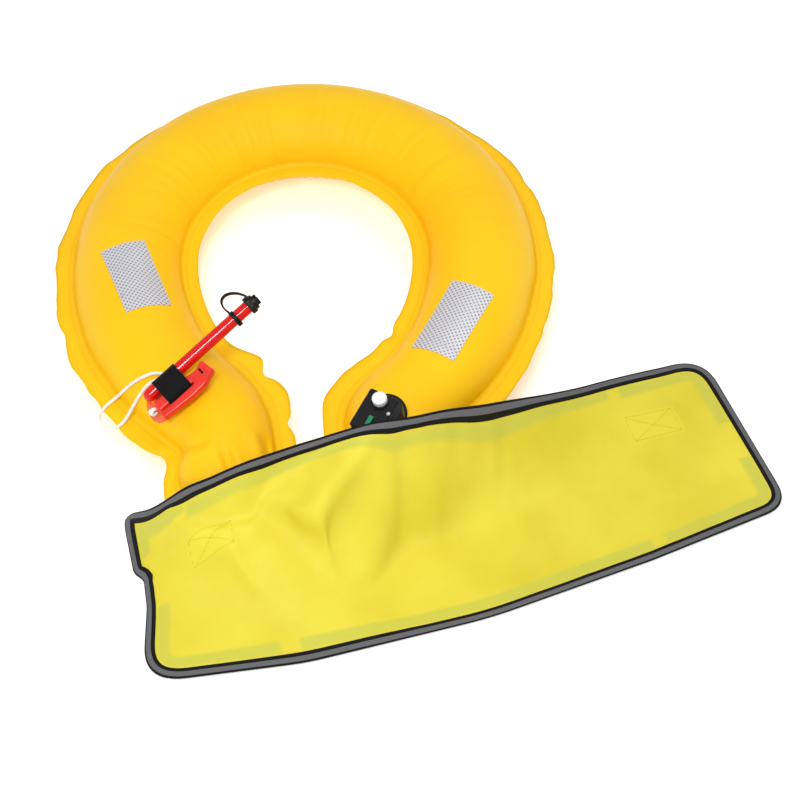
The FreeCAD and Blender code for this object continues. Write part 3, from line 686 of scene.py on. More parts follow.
def bladder_line(step):
    """Evenly spaced centreline from the left lobe over the nape to the right lobe."""
    raw = np.array(list(reversed(arm_line(LEFT_END))) + arm_line(RIGHT_END)[1:])
    travel = np.concatenate([[0], np.cumsum(np.linalg.norm(np.diff(raw, axis=0), axis=1))])
    s = np.linspace(0, travel[-1], int(travel[-1] / step))
    row = ring_to_row(np.stack([np.interp(s, travel, raw[:, k]) for k in range(2)], 1))
    heading = np.gradient(row, axis=0)
    heading /= np.linalg.norm(heading, axis=1)[:, None]
    k = ease((np.minimum(s, travel[-1] - s) - (TAPER_FROM_END - TAPER_LENGTH)) / TAPER_LENGTH)
    wide = LOBE_HALF[0] + (TUBE_HALF[0] - LOBE_HALF[0]) * k
    tall = LOBE_HALF[1] + (TUBE_HALF[1] - LOBE_HALF[1]) * k
    return s, row, heading, wide, tall


def section_points(round_steps, flange_steps):
    """One cross-section as (reach, rise, flange share, side, layer) rows, going round.

    reach and rise are the ellipse's cosine and sine; on the flange the share runs 0 to 1.
    """
    gap = math.radians(2.5)
    shares = np.linspace(0, 1, flange_steps + 1)[1:]
    points = []
    for side, layer in ((1, 1), (-1, 1), (-1, -1), (1, -1)):
        inwards = side == layer
        points += [(0, 0, f, side, layer) for f in (shares[::-1] if inwards else shares)]
        if inwards:
            first = gap if layer > 0 else math.pi + gap
            for phi in np.linspace(first, first + math.pi - 2 * gap, round_steps):
                points.append((math.cos(phi), math.sin(phi), 0, 0, layer))
    return points


NAPE_SPREAD = 0.36
CALM_SPOTS = [((-0.254, -0.126), 0.045), ((-0.020, -0.147), 0.045),
              ((-0.292, 0.041), 0.060), ((0.054, -0.019), 0.060)]


def calm(x, y):
    """0 under the fittings, where the skin lies smooth, and 1 away from them."""
    share = 1.0
    for (cx, cy), reach in CALM_SPOTS:
        share = share * ease((np.hypot(x - cx, y - cy) - 0.5 * reach) / (0.7 * reach))
    return share


# (place, shift, reach): where the lobes and their flange bulge or draw in
SHIFTS = [((-0.165, -0.047), (0.010, 0.011), 0.026), ((-0.128, -0.084), (0.010, 0.011), 0.030),
          ((-0.148, -0.058), (-0.009, -0.008), 0.010), ((-0.113, -0.127), (-0.007, 0.001), 0.009),
          ((-0.256, -0.178), (0.012, -0.003), 0.026), ((-0.281, -0.148), (-0.002, -0.013), 0.024),
          ((-0.247, -0.165), (0.006, 0.004), 0.010), ((-0.262, -0.216), (0.008, 0), 0.022),
          ((-0.057, -0.046), (-0.012, 0.002), 0.030), ((-0.080, -0.088), (-0.011, 0.001), 0.028),
          ((-0.056, -0.042), (0.007, -0.005), 0.008)]
# (from, to, half width, depth): folds of the left lobe's upper skin
CREASES = [((-0.184, -0.186), (-0.170, -0.222), 0.0045, 0.0075),
           ((-0.144, -0.158), (-0.134, -0.190), 0.0050, 0.0095),
           ((-0.236, -0.172), (-0.206, -0.182), 0.0060, 0.0030),
           ((-0.128, -0.080), (-0.150, -0.105), 0.0080, 0.0030)]


def shift_at(points):
    """The sideways shift of each plan point."""
    total = np.zeros_like(points)
    quiet = calm(points[:, 0], points[:, 1])
    for place, shift, reach in SHIFTS:
        gap = np.linalg.norm(points - place, axis=1)
        total += (quiet * np.exp(-(gap / reach) ** 2))[:, None] * np.array(shift)
    return total


def shifted(verts):
    moved = verts.copy()
    moved[:, :2] += shift_at(verts[:, :2])
    return moved


def creased(verts):
    """Press the folds into the upper skin, with a low lip along each side."""
    moved = verts.copy()
    on_top = ease((verts[:, 2] - SEAM_HEIGHT) / 0.012)
    for start, end, half, depth in CREASES:
        gap, along = segment_distance(verts[:, :2], np.array(start), np.array(end))
        fade = ease(along / 0.5 + 0.15)
        fold = np.exp(-(gap / half) ** 2) - 0.35 * np.exp(-((gap - 2.3 * half) / half) ** 2)
        moved[:, 2] -= on_top * fade * depth * fold
    return moved


SEAT_RADIUS, SEAT_EDGE, SEAT_DEPTH = 0.033, 0.007, 0.0013


def seated(verts):
    """Press the upper skin a little under the inflator's manifold, which lies on it."""
    local = np.array(INFLATOR.inverted())
    place = verts @ local[:3, :3].T + local[:3, 3]
    gap = np.hypot(place[:, 0], place[:, 1])
    on_top = ease((verts[:, 2] - SEAM_HEIGHT) / 0.012)
    press = SEAT_DEPTH * on_top * ease((SEAT_RADIUS - gap) / SEAT_EDGE)
    return verts - press[:, None] * np.array(INFLATOR.col[2][:3])


def bladder_mesh(step, round_steps, flange_steps, detail=True):
    """Vertices and faces of the inflated bladder, both skins and the welded flange."""
    s, row, heading, wide, tall = bladder_line(step)
    total = s[-1]
    stations = []
    end_angles = np.radians(np.arange(90, 0, -90 / max(int(0.075 / step), 5)))
    for a in end_angles:
        stations.append((0, a, -1, -wide[0] * a))
    for i in range(len(s)):
        stations.append((i, 0.0, 0, s[i]))
    for a in reversed(end_angles):
        stations.append((len(s) - 1, a, 1, total + wide[-1] * a))
    section = section_points(round_steps, flange_steps)
    travel = np.array([st[3] for st in stations])
    middle = 0.5 * total
    near_end = np.minimum(travel, total - travel)
    ruffle = ease((0.17 - near_end) / 0.06) * ease((near_end - 0.02) / 0.05)
    covered = 0.3 + 0.7 * ease((near_end - 0.01) / 0.06)
    outer_wave = covered * (0.0022 * wobble(travel, 0.034, 11) + 0.0008 * wobble(travel, 0.013, 12))
    inner_wave = covered * (0.0010 * wobble(travel, 0.026, 21)
                            + ruffle * 0.0030 * wobble(travel, 0.026, 22))
    inner_width = 1 - 0.14 * ease((near_end - 0.12) / 0.1) + ruffle * 0.14 * wobble(
        travel, 0.024, 23)
    outer_width = 1 + 0.10 * wobble(travel, 0.030, 13) + 0.05 * wobble(travel, 0.012, 14)
    nape = np.exp(-((travel - middle) / NAPE_SPREAD) ** 4)
    pleat = 0.62 * wobble(travel, 0.0065, 31) + 0.38 * wobble(travel, 0.0034, 32)
    pleat_reach = 0.5 + 0.5 * wobble(travel, 0.009, 33)
    scallop_out = wobble(travel, 0.030, 11)
    scallop_in = wobble(travel, 0.026, 22) * ruffle + 0.4 * wobble(travel, 0.026, 21)
    verts, weld = [], []
    for n, (i, a, way, place) in enumerate(stations):
        forward = np.array((*heading[i], 0.0)) * (way if way else 1)
        left = np.array((-heading[i][1], heading[i][0], 0.0))
        base = np.array((*row[i], SEAM_HEIGHT))
        ca, sa = math.cos(a), (math.sin(a) if way else 0.0)
        quiet = calm(*row[i]) if detail else 0
        for reach, rise, share, side, layer in section:
            if share:
                factor = outer_width[n] if side > 0 else inner_width[n]
                wave = outer_wave[n] if side > 0 else inner_wave[n]
                radius = wide[i] + FLANGE_WIDTH * factor * share if detail else \
                    wide[i] + FLANGE_WIDTH * share
                lift = wave * share ** 1.4 if detail else 0
                spot = base + forward * radius * sa + left * side * radius * ca
                spot[2] += layer * FLANGE_HALF + lift
                weld.append(share)
            else:
                bulge = 0.0
                if detail:
                    phi = math.atan2(rise, reach)
                    upper = max(rise, 0)
                    fold = math.exp(-((abs(phi) - 1.95) / 0.75) ** 2)
                    bulge += 0.0021 * nape[n] * pleat[n] * fold * (0.35 + 0.65 * pleat_reach[n])
                    edge_out = math.exp(-(phi / 0.5) ** 2)
                    edge_in = math.exp(-((abs(phi) - math.pi) / 0.55) ** 2)
                    bulge += 0.0016 * scallop_out[n] * edge_out
                    bulge += 0.0020 * scallop_in[n] * edge_in
                    bulge *= 0.25 + 0.75 * quiet
                w, t = wide[i] + bulge, tall[i] + bulge
                spot = base + forward * w * sa + left * w * reach * ca
                spot[2] += t * rise * ca
                weld.append(0.0)
            verts.append(spot)
    faces = grid_faces(len(stations), len(section), wrap_columns=True)
    verts = np.array(verts)
    return (seated(creased(shifted(verts))) if detail else verts), faces, weld


def make_bladder():
    verts, faces, weld = bladder_mesh(SECTION_STEP, 40, 4)
    piece = mesh_piece("bladder_inflated", verts, faces, "bladder")
    float_attribute(piece, "weld", weld)
    weld_close(piece)
    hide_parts("bladder_upper_skin", "bladder_lower_skin")
    return piece


def tree_of(piece):
    work = bmesh.new()
    work.from_mesh(piece.data)
    tree = BVHTree.FromBMesh(work)
    work.free()
    return tree


def fallen_on(tree, x, y, lift):
    """The surface's point straight below, raised along its normal."""
    spot, normal, _, _ = tree.ray_cast(Vector((x, y, 0.4)), Vector((0, 0, -1)))
    if normal.z < 0:
        normal = -normal
    return spot + normal * lift


PATCH_WIDTH, PATCH_LENGTH, PATCH_THICKNESS, PATCH_GAP = 0.050, 0.100, 0.0005, 0.0002
# patches: (middle, turn in degrees)
PATCHES = {"left": ((-0.292, 0.041), 22), "right": ((0.054, -0.019), -27)}


def make_patches(tree):
    for hand, ((cx, cy), turn) in PATCHES.items():
        columns, rows = 27, 53
        turned = math.radians(turn)
        verts, uvs = [], []
        for lift in (PATCH_GAP, PATCH_THICKNESS + PATCH_GAP):
            for j in range(rows):
                for i in range(columns):
                    u = (i / (columns - 1) - 0.5) * PATCH_WIDTH
                    v = (j / (rows - 1) - 0.5) * PATCH_LENGTH
                    x = cx + u * math.cos(turned) - v * math.sin(turned)
                    y = cy + u * math.sin(turned) + v * math.cos(turned)
                    verts.append(fallen_on(tree, x, y, lift))
                    uvs.append((u, v))
        piece = mesh_piece(f"reflective_tape_{hand}", verts, slab_faces(rows, columns),
                           "reflective")
        flat_uv(piece, uvs)
        sharpen(piece, 60)
        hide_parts(f"reflective_patch_{hand}")


# ---- cover -------------------------------------------------------------------------------
COVER_CENTRE = np.array((0.0455, -0.201))
COVER_TURN = math.radians(17.5)
COVER_LEVEL = 0.0017
LOBE_HEIGHT, BRIDGE_HEIGHT = 0.107, 0.092
TENT_INNER, TENT_OUTER = 0.042, 0.116
RIDGE_INNER, RIDGE_OUTER = 0.020, 0.066
RIDGE_CLEARANCE = 0.025
LEFT_RUN, RIGHT_RUN = 0.245, 0.205
# corners of the laid-open cover in its own frame with their rounding radii
COVER_CORNERS = [
    (-0.325, 0.094, 0.032), (-0.329, 0.019, 0.012), (-0.321, 0.008, 0.010),
    (-0.325, -0.025, 0.060), (-0.348, -0.110, 0.038),
    (-0.190, -0.135, 0.300), (0, -0.140, 0.500), (0.180, -0.124, 0.400),
    (0.346, -0.102, 0.032), (0.341, 0.115, 0.038), (0.240, 0.109, 0.300),
    (0.050, 0.049, 0.200), (-0.038, 0.036, 0.200), (-0.115, 0.048, 0.300),
    (-0.250, 0.040, 0.120), (-0.290, 0.050, 0.060),
]
# height of the rear edge as it crosses the lobes: (place along the cover, height)
REAR_EDGE = [(-0.330, 0.002), (-0.292, 0.050), (-0.255, 0.092), (-0.205, 0.107),
             (-0.115, 0.110), (-0.038, 0.123), (0.030, 0.107), (0.080, 0.083),
             (0.130, 0.056), (0.185, 0.030), (0.240, 0.011), (0.300, 0.002), (0.350, 0.0)]
EDGE_REACH = 0.045
REAR_LEFT, FRONT_LEFT, FRONT_RIGHT, REAR_RIGHT = 0, 4, 8, 9
COVER_CELLS = (132, 46)


def cover_to_row(points):
    c, s = math.cos(COVER_TURN), math.sin(COVER_TURN)
    return np.asarray(points) @ np.array([[c, s], [-s, c]]) + COVER_CENTRE


def rounded_outline(corners, arc_steps=12):
    """The outline as points, anticlockwise, and each corner's middle point's index."""
    spots = [Vector(corner[:2]) for corner in corners]
    points, middles = [], []
    for i, (spot, (_, _, radius)) in enumerate(zip(spots, corners)):
        before = (spots[i - 1] - spot)
        after = (spots[(i + 1) % len(spots)] - spot)
        half = (math.pi - before.angle(after)) / 2
        setback = min(radius * math.tan(half), 0.48 * min(before.length, after.length))
        a, b = spot + before.normalized() * setback, spot + after.normalized() * setback
        for k in range(arc_steps + 1):
            t = k / arc_steps
            if k == arc_steps // 2:
                middles.append(len(points))
            points.append((1 - t) ** 2 * a + 2 * t * (1 - t) * spot + t * t * b)
    return np.array([tuple(p) for p in points]), middles


def resample(points, count):
    travel = np.concatenate([[0], np.cumsum(np.linalg.norm(np.diff(points, axis=0), axis=1))])
    wanted = np.linspace(0, travel[-1], count)
    return np.stack([np.interp(wanted, travel, points[:, k]) for k in range(points.shape[1])], 1)


OUTLINE, CORNER_AT = rounded_outline(COVER_CORNERS)


def outline_between(first, last):
    a, b = CORNER_AT[first], CORNER_AT[last]
    return OUTLINE[a:b + 1] if b > a else np.concatenate([OUTLINE[a:], OUTLINE[:b + 1]])


def cover_plan(columns, rows):
    """The cover's grid in its own plan frame, fitted between its four sides."""
    front = resample(outline_between(FRONT_LEFT, FRONT_RIGHT), columns)
    right = resample(outline_between(FRONT_RIGHT, REAR_RIGHT), rows)
    rear = resample(outline_between(REAR_RIGHT, REAR_LEFT), columns)[::-1]
    left = resample(outline_between(REAR_LEFT, FRONT_LEFT), rows)[::-1]
    u = np.linspace(0, 1, columns)[None, :, None]
    v = np.linspace(0, 1, rows)[:, None, None]
    ruled = (1 - v) * front[None] + v * rear[None] + (1 - u) * left[:, None] + u * right[:, None]
    corners = ((1 - u) * (1 - v) * front[0] + u * (1 - v) * front[-1]
               + (1 - u) * v * rear[0] + u * v * rear[-1])
    return ruled - corners


def segment_distance(points, a, b):
    """Distance in plan from a segment and the share of the way along it."""
    along = b - a
    k = np.clip(((points - a) @ along) / (along @ along), 0, 1)
    return np.linalg.norm(points - a - k[..., None] * along, axis=-1), k


def line_distance(points, line):
    flat = points.reshape(-1, 2)
    best = np.full(len(flat), 9.0)
    for spot in line:
        best = np.minimum(best, np.linalg.norm(flat - spot, axis=1))
    return best.reshape(points.shape[:-1])


def tent(distance, height, inner=TENT_INNER, outer=TENT_OUTER):
    return height * ease((outer - distance) / (outer - inner))


def drape(points):
    """Height of the cover over the lobes and the gas bottle, as the frame has it."""
    s, row, _, _, _ = bladder_line(0.008)
    height = tent(line_distance(points, row[s < LEFT_RUN]), LOBE_HEIGHT)
    height = np.maximum(height, tent(line_distance(points, row[s > s[-1] - RIGHT_RUN]),
                                     LOBE_HEIGHT))
    near, _ = segment_distance(points, row[0], row[-1])
    height = np.maximum(height, tent(near, BRIDGE_HEIGHT))
    bottle_from, bottle_to = bottle_spot(-20), bottle_spot(-135)
    near, k = segment_distance(points, np.array(bottle_from.xy), np.array(bottle_to.xy))
    crown = bottle_from.z + (bottle_to.z - bottle_from.z) * k + RIDGE_CLEARANCE
    ridge = crown * ease((RIDGE_OUTER - near) / (RIDGE_OUTER - RIDGE_INNER))
    return np.maximum(height, ridge)


BOTTLE_AXIS_MM = (-1, 16)
BOTTLE_REACH, BOTTLE_ENDS_MM = 0.0125, (-27, -124)
FLANGE_ROOM, FLANGE_TOP = 0.004, SEAM_HEIGHT + 0.0065
HOUSING_ROOM_MM, HOUSING_ROOM = 2, 0.0022


def bottle_spot(y):
    """A place on the gas bottle's axis, by its local Y in millimetres."""
    return INFLATOR @ (Vector((BOTTLE_AXIS_MM[0], y, BOTTLE_AXIS_MM[1])) * MM)


def support(points):
    """Top of what lies under the cover: bladder, flange, gas bottle and inflator."""
    s, row, _, wide, tall = bladder_line(0.004)
    near_ends = (s < 0.33) | (s > s[-1] - 0.33)
    flat = points.reshape(-1, 2)
    unshifted = flat - shift_at(flat)
    gaps = np.linalg.norm(unshifted[:, None] - row[near_ends][None], axis=2)
    nearest = gaps.argmin(1)
    gap = gaps.min(1)
    wide, tall = wide[near_ends][nearest], tall[near_ends][nearest]
    height = np.where(gap < wide + FLANGE_WIDTH + FLANGE_ROOM, FLANGE_TOP, 0)
    dome = SEAM_HEIGHT + tall * np.sqrt(np.clip(1 - (gap / wide) ** 2, 0, 1))
    height = np.where(gap < wide, np.maximum(height, dome), height)
    neck, foot = (bottle_spot(y) for y in BOTTLE_ENDS_MM)
    near, k = segment_distance(flat, np.array(neck.xy), np.array(foot.xy))
    round_top = neck.z + (foot.z - neck.z) * k + np.sqrt(
        np.clip(BOTTLE_REACH ** 2 - near ** 2, 0, 1))
    height = np.where(near < BOTTLE_REACH, np.maximum(height, round_top), height)
    local = INFLATOR.inverted()
    top = INFLATOR @ Vector((0, 0, INFLATOR_TOP_MM * MM))
    up = INFLATOR.to_3x3() @ Vector((0, 0, 1))
    for i, (x, y) in enumerate(flat):
        z = top.z - (up.x * (x - top.x) + up.y * (y - top.y)) / up.z
        spot = (local @ Vector((x, y, z))) / MM
        within_x = BODY_X_MM[0] - HOUSING_ROOM_MM < spot.x < BODY_X_MM[1] + HOUSING_ROOM_MM
        within_y = BODY_Y_MM[0] - HOUSING_ROOM_MM < spot.y < BODY_Y_MM[1]
        if within_x and within_y:
            height[i] = max(height[i], z + HOUSING_ROOM)
    return height.reshape(points.shape[:-1])


def rest_height(plan):
    """The cover's starting height: the drape, led to a level line at the rear edge."""
    row = cover_to_row(plan)
    height = smoothed(drape(row), 14)
    along, edge = np.array(REAR_EDGE).T
    wanted = smoothed_line(np.interp(plan[-1, :, 0], along, edge), 40)
    depth = np.linalg.norm(plan - plan[-1:], axis=2)
    height = height + (wanted - height[-1])[None] * np.exp(-(depth / EDGE_REACH) ** 2)
    return height


def smoothed_line(values, passes):
    for _ in range(passes):
        values = np.concatenate([values[:1], (values[:-2] + 2 * values[1:-1] + values[2:]) / 4,
                                 values[-1:]])
    return values


def smoothed(field, passes):
    for _ in range(passes):
        padded = np.pad(field, 1, mode="edge")
        field = (padded[:-2, 1:-1] + padded[2:, 1:-1] + padded[1:-1, :-2]
                 + padded[1:-1, 2:] + 4 * field) / 8
    return field


def grown(field, cells):
    """The field with each high place spread by the given number of cells."""
    for _ in range(cells):
        padded = np.pad(field, 1, mode="edge")
        field = np.max([padded[1:-1, 1:-1], padded[:-2, 1:-1], padded[2:, 1:-1],
                        padded[1:-1, :-2], padded[1:-1, 2:]], axis=0)
    return field


def as_collider(name, mesh):
    made = bpy.data.objects.new(name, mesh)
    bpy.context.scene.collection.objects.link(made)
    made.modifiers.new("hit", "COLLISION")
    made.collision.thickness_outer = 0.0015
    made.collision.cloth_friction = 8
    return made


DRAPE_FRAMES = 36
SLACK = 0.006


def draped_grid(plan):
    """The cover's grid in the row frame, dropped over the lobes by cloth simulation."""
    rows, columns = plan.shape[:2]
    row = cover_to_row(plan)
    floor_of_cloth = support(row) + COVER_LEVEL
    height = rest_height(plan) + COVER_LEVEL
    rest = np.dstack([row, np.maximum(height, floor_of_cloth + 0.002 * (floor_of_cloth > 0.01))])
    piece = mesh_piece("cover_cloth", rest.reshape(-1, 3), grid_faces(rows, columns), "cover",
                       body=None)
    held = piece.vertex_groups.new(name="held")
    edge = [i * columns + j for i in range(rows) for j in range(columns)
            if i in (0, rows - 1) or j in (0, columns - 1)]
    held.add(edge, 1.0, "REPLACE")
    cloth = piece.modifiers.new("drape", "CLOTH")
    cloth.settings.vertex_group_mass = "held"
    cloth.settings.quality = 7
    cloth.settings.mass = 0.12
    cloth.settings.tension_stiffness = 20
    cloth.settings.compression_stiffness = 12
    cloth.settings.shear_stiffness = 4
    cloth.settings.bending_stiffness = 1.2
    cloth.settings.shrink_min = -SLACK
    cloth.settings.air_damping = 3
    cloth.collision_settings.distance_min = 0.0015
    cloth.collision_settings.use_self_collision = False
    verts, faces, _ = bladder_mesh(0.009, 20, 1, detail=False)
    mesh = bpy.data.meshes.new("bladder_proxy")
    mesh.from_pydata([tuple(v) for v in verts], [], faces)
    proxies = [as_collider("bladder_proxy", mesh)]
    for name in ("co2_cylinder", "inflator_body", "cap_nut", "indicator_clip"):
        proxies.append(as_collider(f"{name}_proxy", nodes[name].data.copy()))
    proxies.append(as_collider("floor_proxy", square_mesh("floor_proxy", 0.6)))
    scene = bpy.context.scene
    for number in range(1, DRAPE_FRAMES + 1):
        scene.frame_set(number)
    settled = piece.evaluated_get(bpy.context.evaluated_depsgraph_get())
    result = np.array([v.co for v in settled.data.vertices]).reshape(rows, columns, 3)
    scene.frame_set(1)
    for made in proxies + [piece]:
        bpy.data.objects.remove(made)
    eased = np.dstack([smoothed(result[..., k], 5) for k in range(3)])
    result[1:-1, 1:-1] = eased[1:-1, 1:-1]
    lift = np.maximum(support(result[..., :2]) + COVER_LEVEL + 0.0015 - result[..., 2], 0)
    result[..., 2] += np.maximum(lift, smoothed(grown(lift, 5), 14))
    return result


def refined(grid):
    """Twice as many cells each way, on a smooth curve through the old points."""
    for axis in (0, 1):
        moved = np.moveaxis(grid, axis, 0)
        ends = np.concatenate([2 * moved[:1] - moved[1:2], moved, 2 * moved[-1:] - moved[-2:-1]])
        between = (9 * (ends[1:-2] + ends[2:-1]) - ends[:-3] - ends[3:]) / 16
        full = np.empty((2 * len(moved) - 1, *moved.shape[1:]))
        full[::2], full[1::2] = moved, between
        grid = np.moveaxis(full, 0, axis)
    return grid


def outline_inset(plan):
    """Distance from the cover's edge, in metres, at each grid point."""
    flat = plan.reshape(-1, 2)
    closed = np.concatenate([OUTLINE, OUTLINE[:1]])
    best = np.full(len(flat), 9.0)
    for a, b in zip(closed[:-1], closed[1:]):
        if np.linalg.norm(b - a) < 1e-9:
            continue
        best = np.minimum(best, segment_distance(flat, a, b)[0])
    return best.reshape(plan.shape[:2])


class Cloth:
    """The settled cover, so that its trim can be laid on it by its place in the flat cut."""

    def __init__(self, plan, grid):
        self.plan, self.grid = plan, grid
        rows, columns = plan.shape[:2]
        self.spots = [Vector(p) for p in grid.reshape(-1, 3)]
        flat = [Vector((x, y, 0)) for x, y in plan.reshape(-1, 2)]
        self.triangles = []
        for a, b, c, d in grid_faces(rows, columns):
            self.triangles += [(a, b, c), (a, c, d)]
        self.flat = flat
        self.tree = BVHTree.FromPolygons(flat, self.triangles)
        down = np.gradient(grid, axis=0)
        across = np.gradient(grid, axis=1)
        normals = np.cross(across, down)
        normals /= np.linalg.norm(normals, axis=2)[..., None] + 1e-12
        self.normals = [Vector(n) for n in normals.reshape(-1, 3)]

    def spot(self, x, y, lift=0.0):
        """The place on the settled cloth of a point of the flat cut."""
        near, _, index, _ = self.tree.find_nearest(Vector((x, y, 0)))
        corners = self.triangles[index]
        shares = poly_3d_calc([self.flat[k] for k in corners], near)
        spot = sum((self.spots[k] * share for k, share in zip(corners, shares)), Vector())
        normal = sum((self.normals[k] * share for k, share in zip(corners, shares)), Vector())
        return spot + normal.normalized() * lift


TAPE_INSET, TAPE_WIDTH = 0.0115, 0.013
SLOPED_TAPE_WIDTH = 0.009
# windows of the hook strips: (left, front, length, depth, width in plan)
STRIPS = {
    "rear": (-0.266, -0.010, 0.481, 0.230, SLOPED_TAPE_WIDTH),
    "front": (-0.190, -0.200, 0.380, 0.150, TAPE_WIDTH),
    "left_rear": (-0.330, 0.028, 0.062, 0.060, SLOPED_TAPE_WIDTH),
    "right_rear": (0.230, 0.020, 0.130, 0.180, TAPE_WIDTH),
    "left_front": (-0.330, -0.200, 0.120, 0.170, TAPE_WIDTH),
    "right_front": (0.205, -0.200, 0.150, 0.170, TAPE_WIDTH),
}
# belt loops: (left end, middle, length, width in plan); the left one lies on a slope
LOOPS = {"left": (-0.268, -0.001, 0.052, 0.019), "right": (0.222, 0.042, 0.060, 0.038)}


def inside(value, low, high, soft):
    return ease((value - low) / soft + 0.5) * ease((high - value) / soft + 0.5)


def make_cover():
    plan = cover_plan(*COVER_CELLS)
    grid = draped_grid(plan)
    plan, grid = refined(plan), refined(grid)
    rows, columns = plan.shape[:2]
    piece = mesh_piece("cover_cloth", grid.reshape(-1, 3), grid_faces(rows, columns), "cover")
    inset = outline_inset(plan)
    x, y = plan[..., 0], plan[..., 1]
    tape = np.zeros_like(inset)
    for left, front, length, depth, width in STRIPS.values():
        band = inside(inset, TAPE_INSET, TAPE_INSET + width, 0.004)
        window = inside(x, left, left + length, 0.003) * inside(y, front, front + depth, 0.003)
        tape = np.maximum(tape, band * window)
    loop = np.zeros_like(inset)
    for left, middle, length, width in LOOPS.values():
        loop = np.maximum(loop, inside(x, left, left + length, 0.004)
                          * inside(y, middle - width / 2, middle + width / 2, 0.004))
    _, line, _, _, _ = bladder_line(0.008)
    lobes = line_distance(grid[..., :2], line)
    float_attribute(piece, "tape_below", tape)
    float_attribute(piece, "loop_below", loop)
    float_attribute(piece, "lobe_below", ease((LOBE_HALF[0] + 0.012 - lobes) / 0.030))
    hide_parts("cover_panel")
    return piece, Cloth(plan, grid)


BINDING_WIDTH = 0.010
BINDING_STEP = 0.004
# section over the edge: (distance in from the edge, height over the cloth), millimetres
BINDING_SECTION_MM = [(10, 0.25), (9.7, 0.9), (7, 1.2), (3.5, 1.35), (1, 1.3), (-0.5, 0.9),
                      (-1.0, 0.0), (-0.5, -0.9), (1, -1.3), (3.5, -1.3), (7, -1.15),
                      (9.7, -0.85), (10, -0.25)]


def edge_frames(step):
    """Evenly spaced outline points with their inward directions, in the flat cut."""
    closed = np.concatenate([OUTLINE, OUTLINE[:1]])
    total = np.linalg.norm(np.diff(closed, axis=0), axis=1).sum()
    points = resample(closed, int(total / step) + 1)[:-1]
    along = np.roll(points, -1, 0) - np.roll(points, 1, 0)
    along /= np.linalg.norm(along, axis=1)[:, None]
    return points, np.stack([-along[:, 1], along[:, 0]], 1)


def make_binding(cloth):
    points, inward = edge_frames(BINDING_STEP)
    verts, across = [], []
    for (x, y), (nx, ny) in zip(points, inward):
        for inset_mm, lift_mm in BINDING_SECTION_MM:
            inset = inset_mm * MM
            if inset >= 0:
                spot = cloth.spot(x + nx * inset, y + ny * inset, lift_mm * MM)
            else:
                rim = cloth.spot(x, y, lift_mm * MM)
                outward = (rim - cloth.spot(x + nx * 0.004, y + ny * 0.004, lift_mm * MM))
                spot = rim + outward.normalized() * -inset
            verts.append(spot)
            across.append(min(max(1 - inset / BINDING_WIDTH, 0), 1))
    faces = grid_faces(len(points), len(BINDING_SECTION_MM), True, True)
    piece = mesh_piece("cover_edge_binding", verts, faces, "binding")
    float_attribute(piece, "across", across)
    weld_close(piece)
    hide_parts("cover_binding")
    return piece


UNDER_CLOTH, TAPE_THICKNESS = -0.0010, 0.0011
TAPE_STEP = 0.002


def tape_mesh(name, cloth, rows_of_plan, slot, uvs):
    """A thin flat piece laid under the cloth, from its grid in the flat cut."""
    verts = [cloth.spot(*p, lift) for lift in (UNDER_CLOTH - TAPE_THICKNESS, UNDER_CLOTH)
             for p in rows_of_plan.reshape(-1, 2)]
    piece = mesh_piece(name, verts, slab_faces(*rows_of_plan.shape[:2]), slot)
    weld_close(piece, 1e-7)
    flat_uv(piece, list(uvs) * 2)
    sharpen(piece, 50)
    return piece


def longest_run(chosen):
    """Indices of the longest unbroken stretch of a closed line that is chosen."""
    count = len(chosen)
    best, run = [], []
    for k in range(2 * count):
        if chosen[k % count] and len(run) < count:
            run = run + [k % count]
            best = max(best, run, key=len)
        else:
            run = []
    return best


def make_strips(cloth):
    """Hook tape under the cover, one piece for each stretch of its edge."""
    points, inward = edge_frames(TAPE_STEP)
    made = []
    for place, (left, front, length, depth, width) in STRIPS.items():
        middle = points + inward * (TAPE_INSET + width / 2)
        in_window = ((middle[:, 0] > left) & (middle[:, 0] < left + length)
                     & (middle[:, 1] > front) & (middle[:, 1] < front + depth))
        runs = longest_run(in_window)
        shares = np.linspace(0, 1, 8)
        rows = np.array([[points[i] + inward[i] * (TAPE_INSET + width * k) for i in runs]
                         for k in shares])
        uvs = [(TAPE_STEP * i, width * k) for k in shares for i in range(len(runs))]
        piece = tape_mesh(f"hook_tape_{place}", cloth, rows, "hook", uvs)
        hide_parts(f"hook_strip_{place}")
        made.append(piece)
    return made


def make_loops(cloth):
    made = []
    for hand, (left, middle, length, width) in LOOPS.items():
        xs = np.linspace(left, left + length, 30)
        ys = np.linspace(middle - width / 2, middle + width / 2, 20)
        rows = np.array([[(x, y) for x in xs] for y in ys])
        uvs = [(x, y) for y in ys for x in xs]
        piece = tape_mesh(f"belt_loop_web_{hand}", cloth, rows, "webbing", uvs)
        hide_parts(f"belt_loop_{hand}")
        made.append(piece)
    return made


STITCH_PITCH, STITCH_LENGTH = 0.0032, 0.0024
THREAD_RADIUS, THREAD_RISE = 0.00022, 0.0002


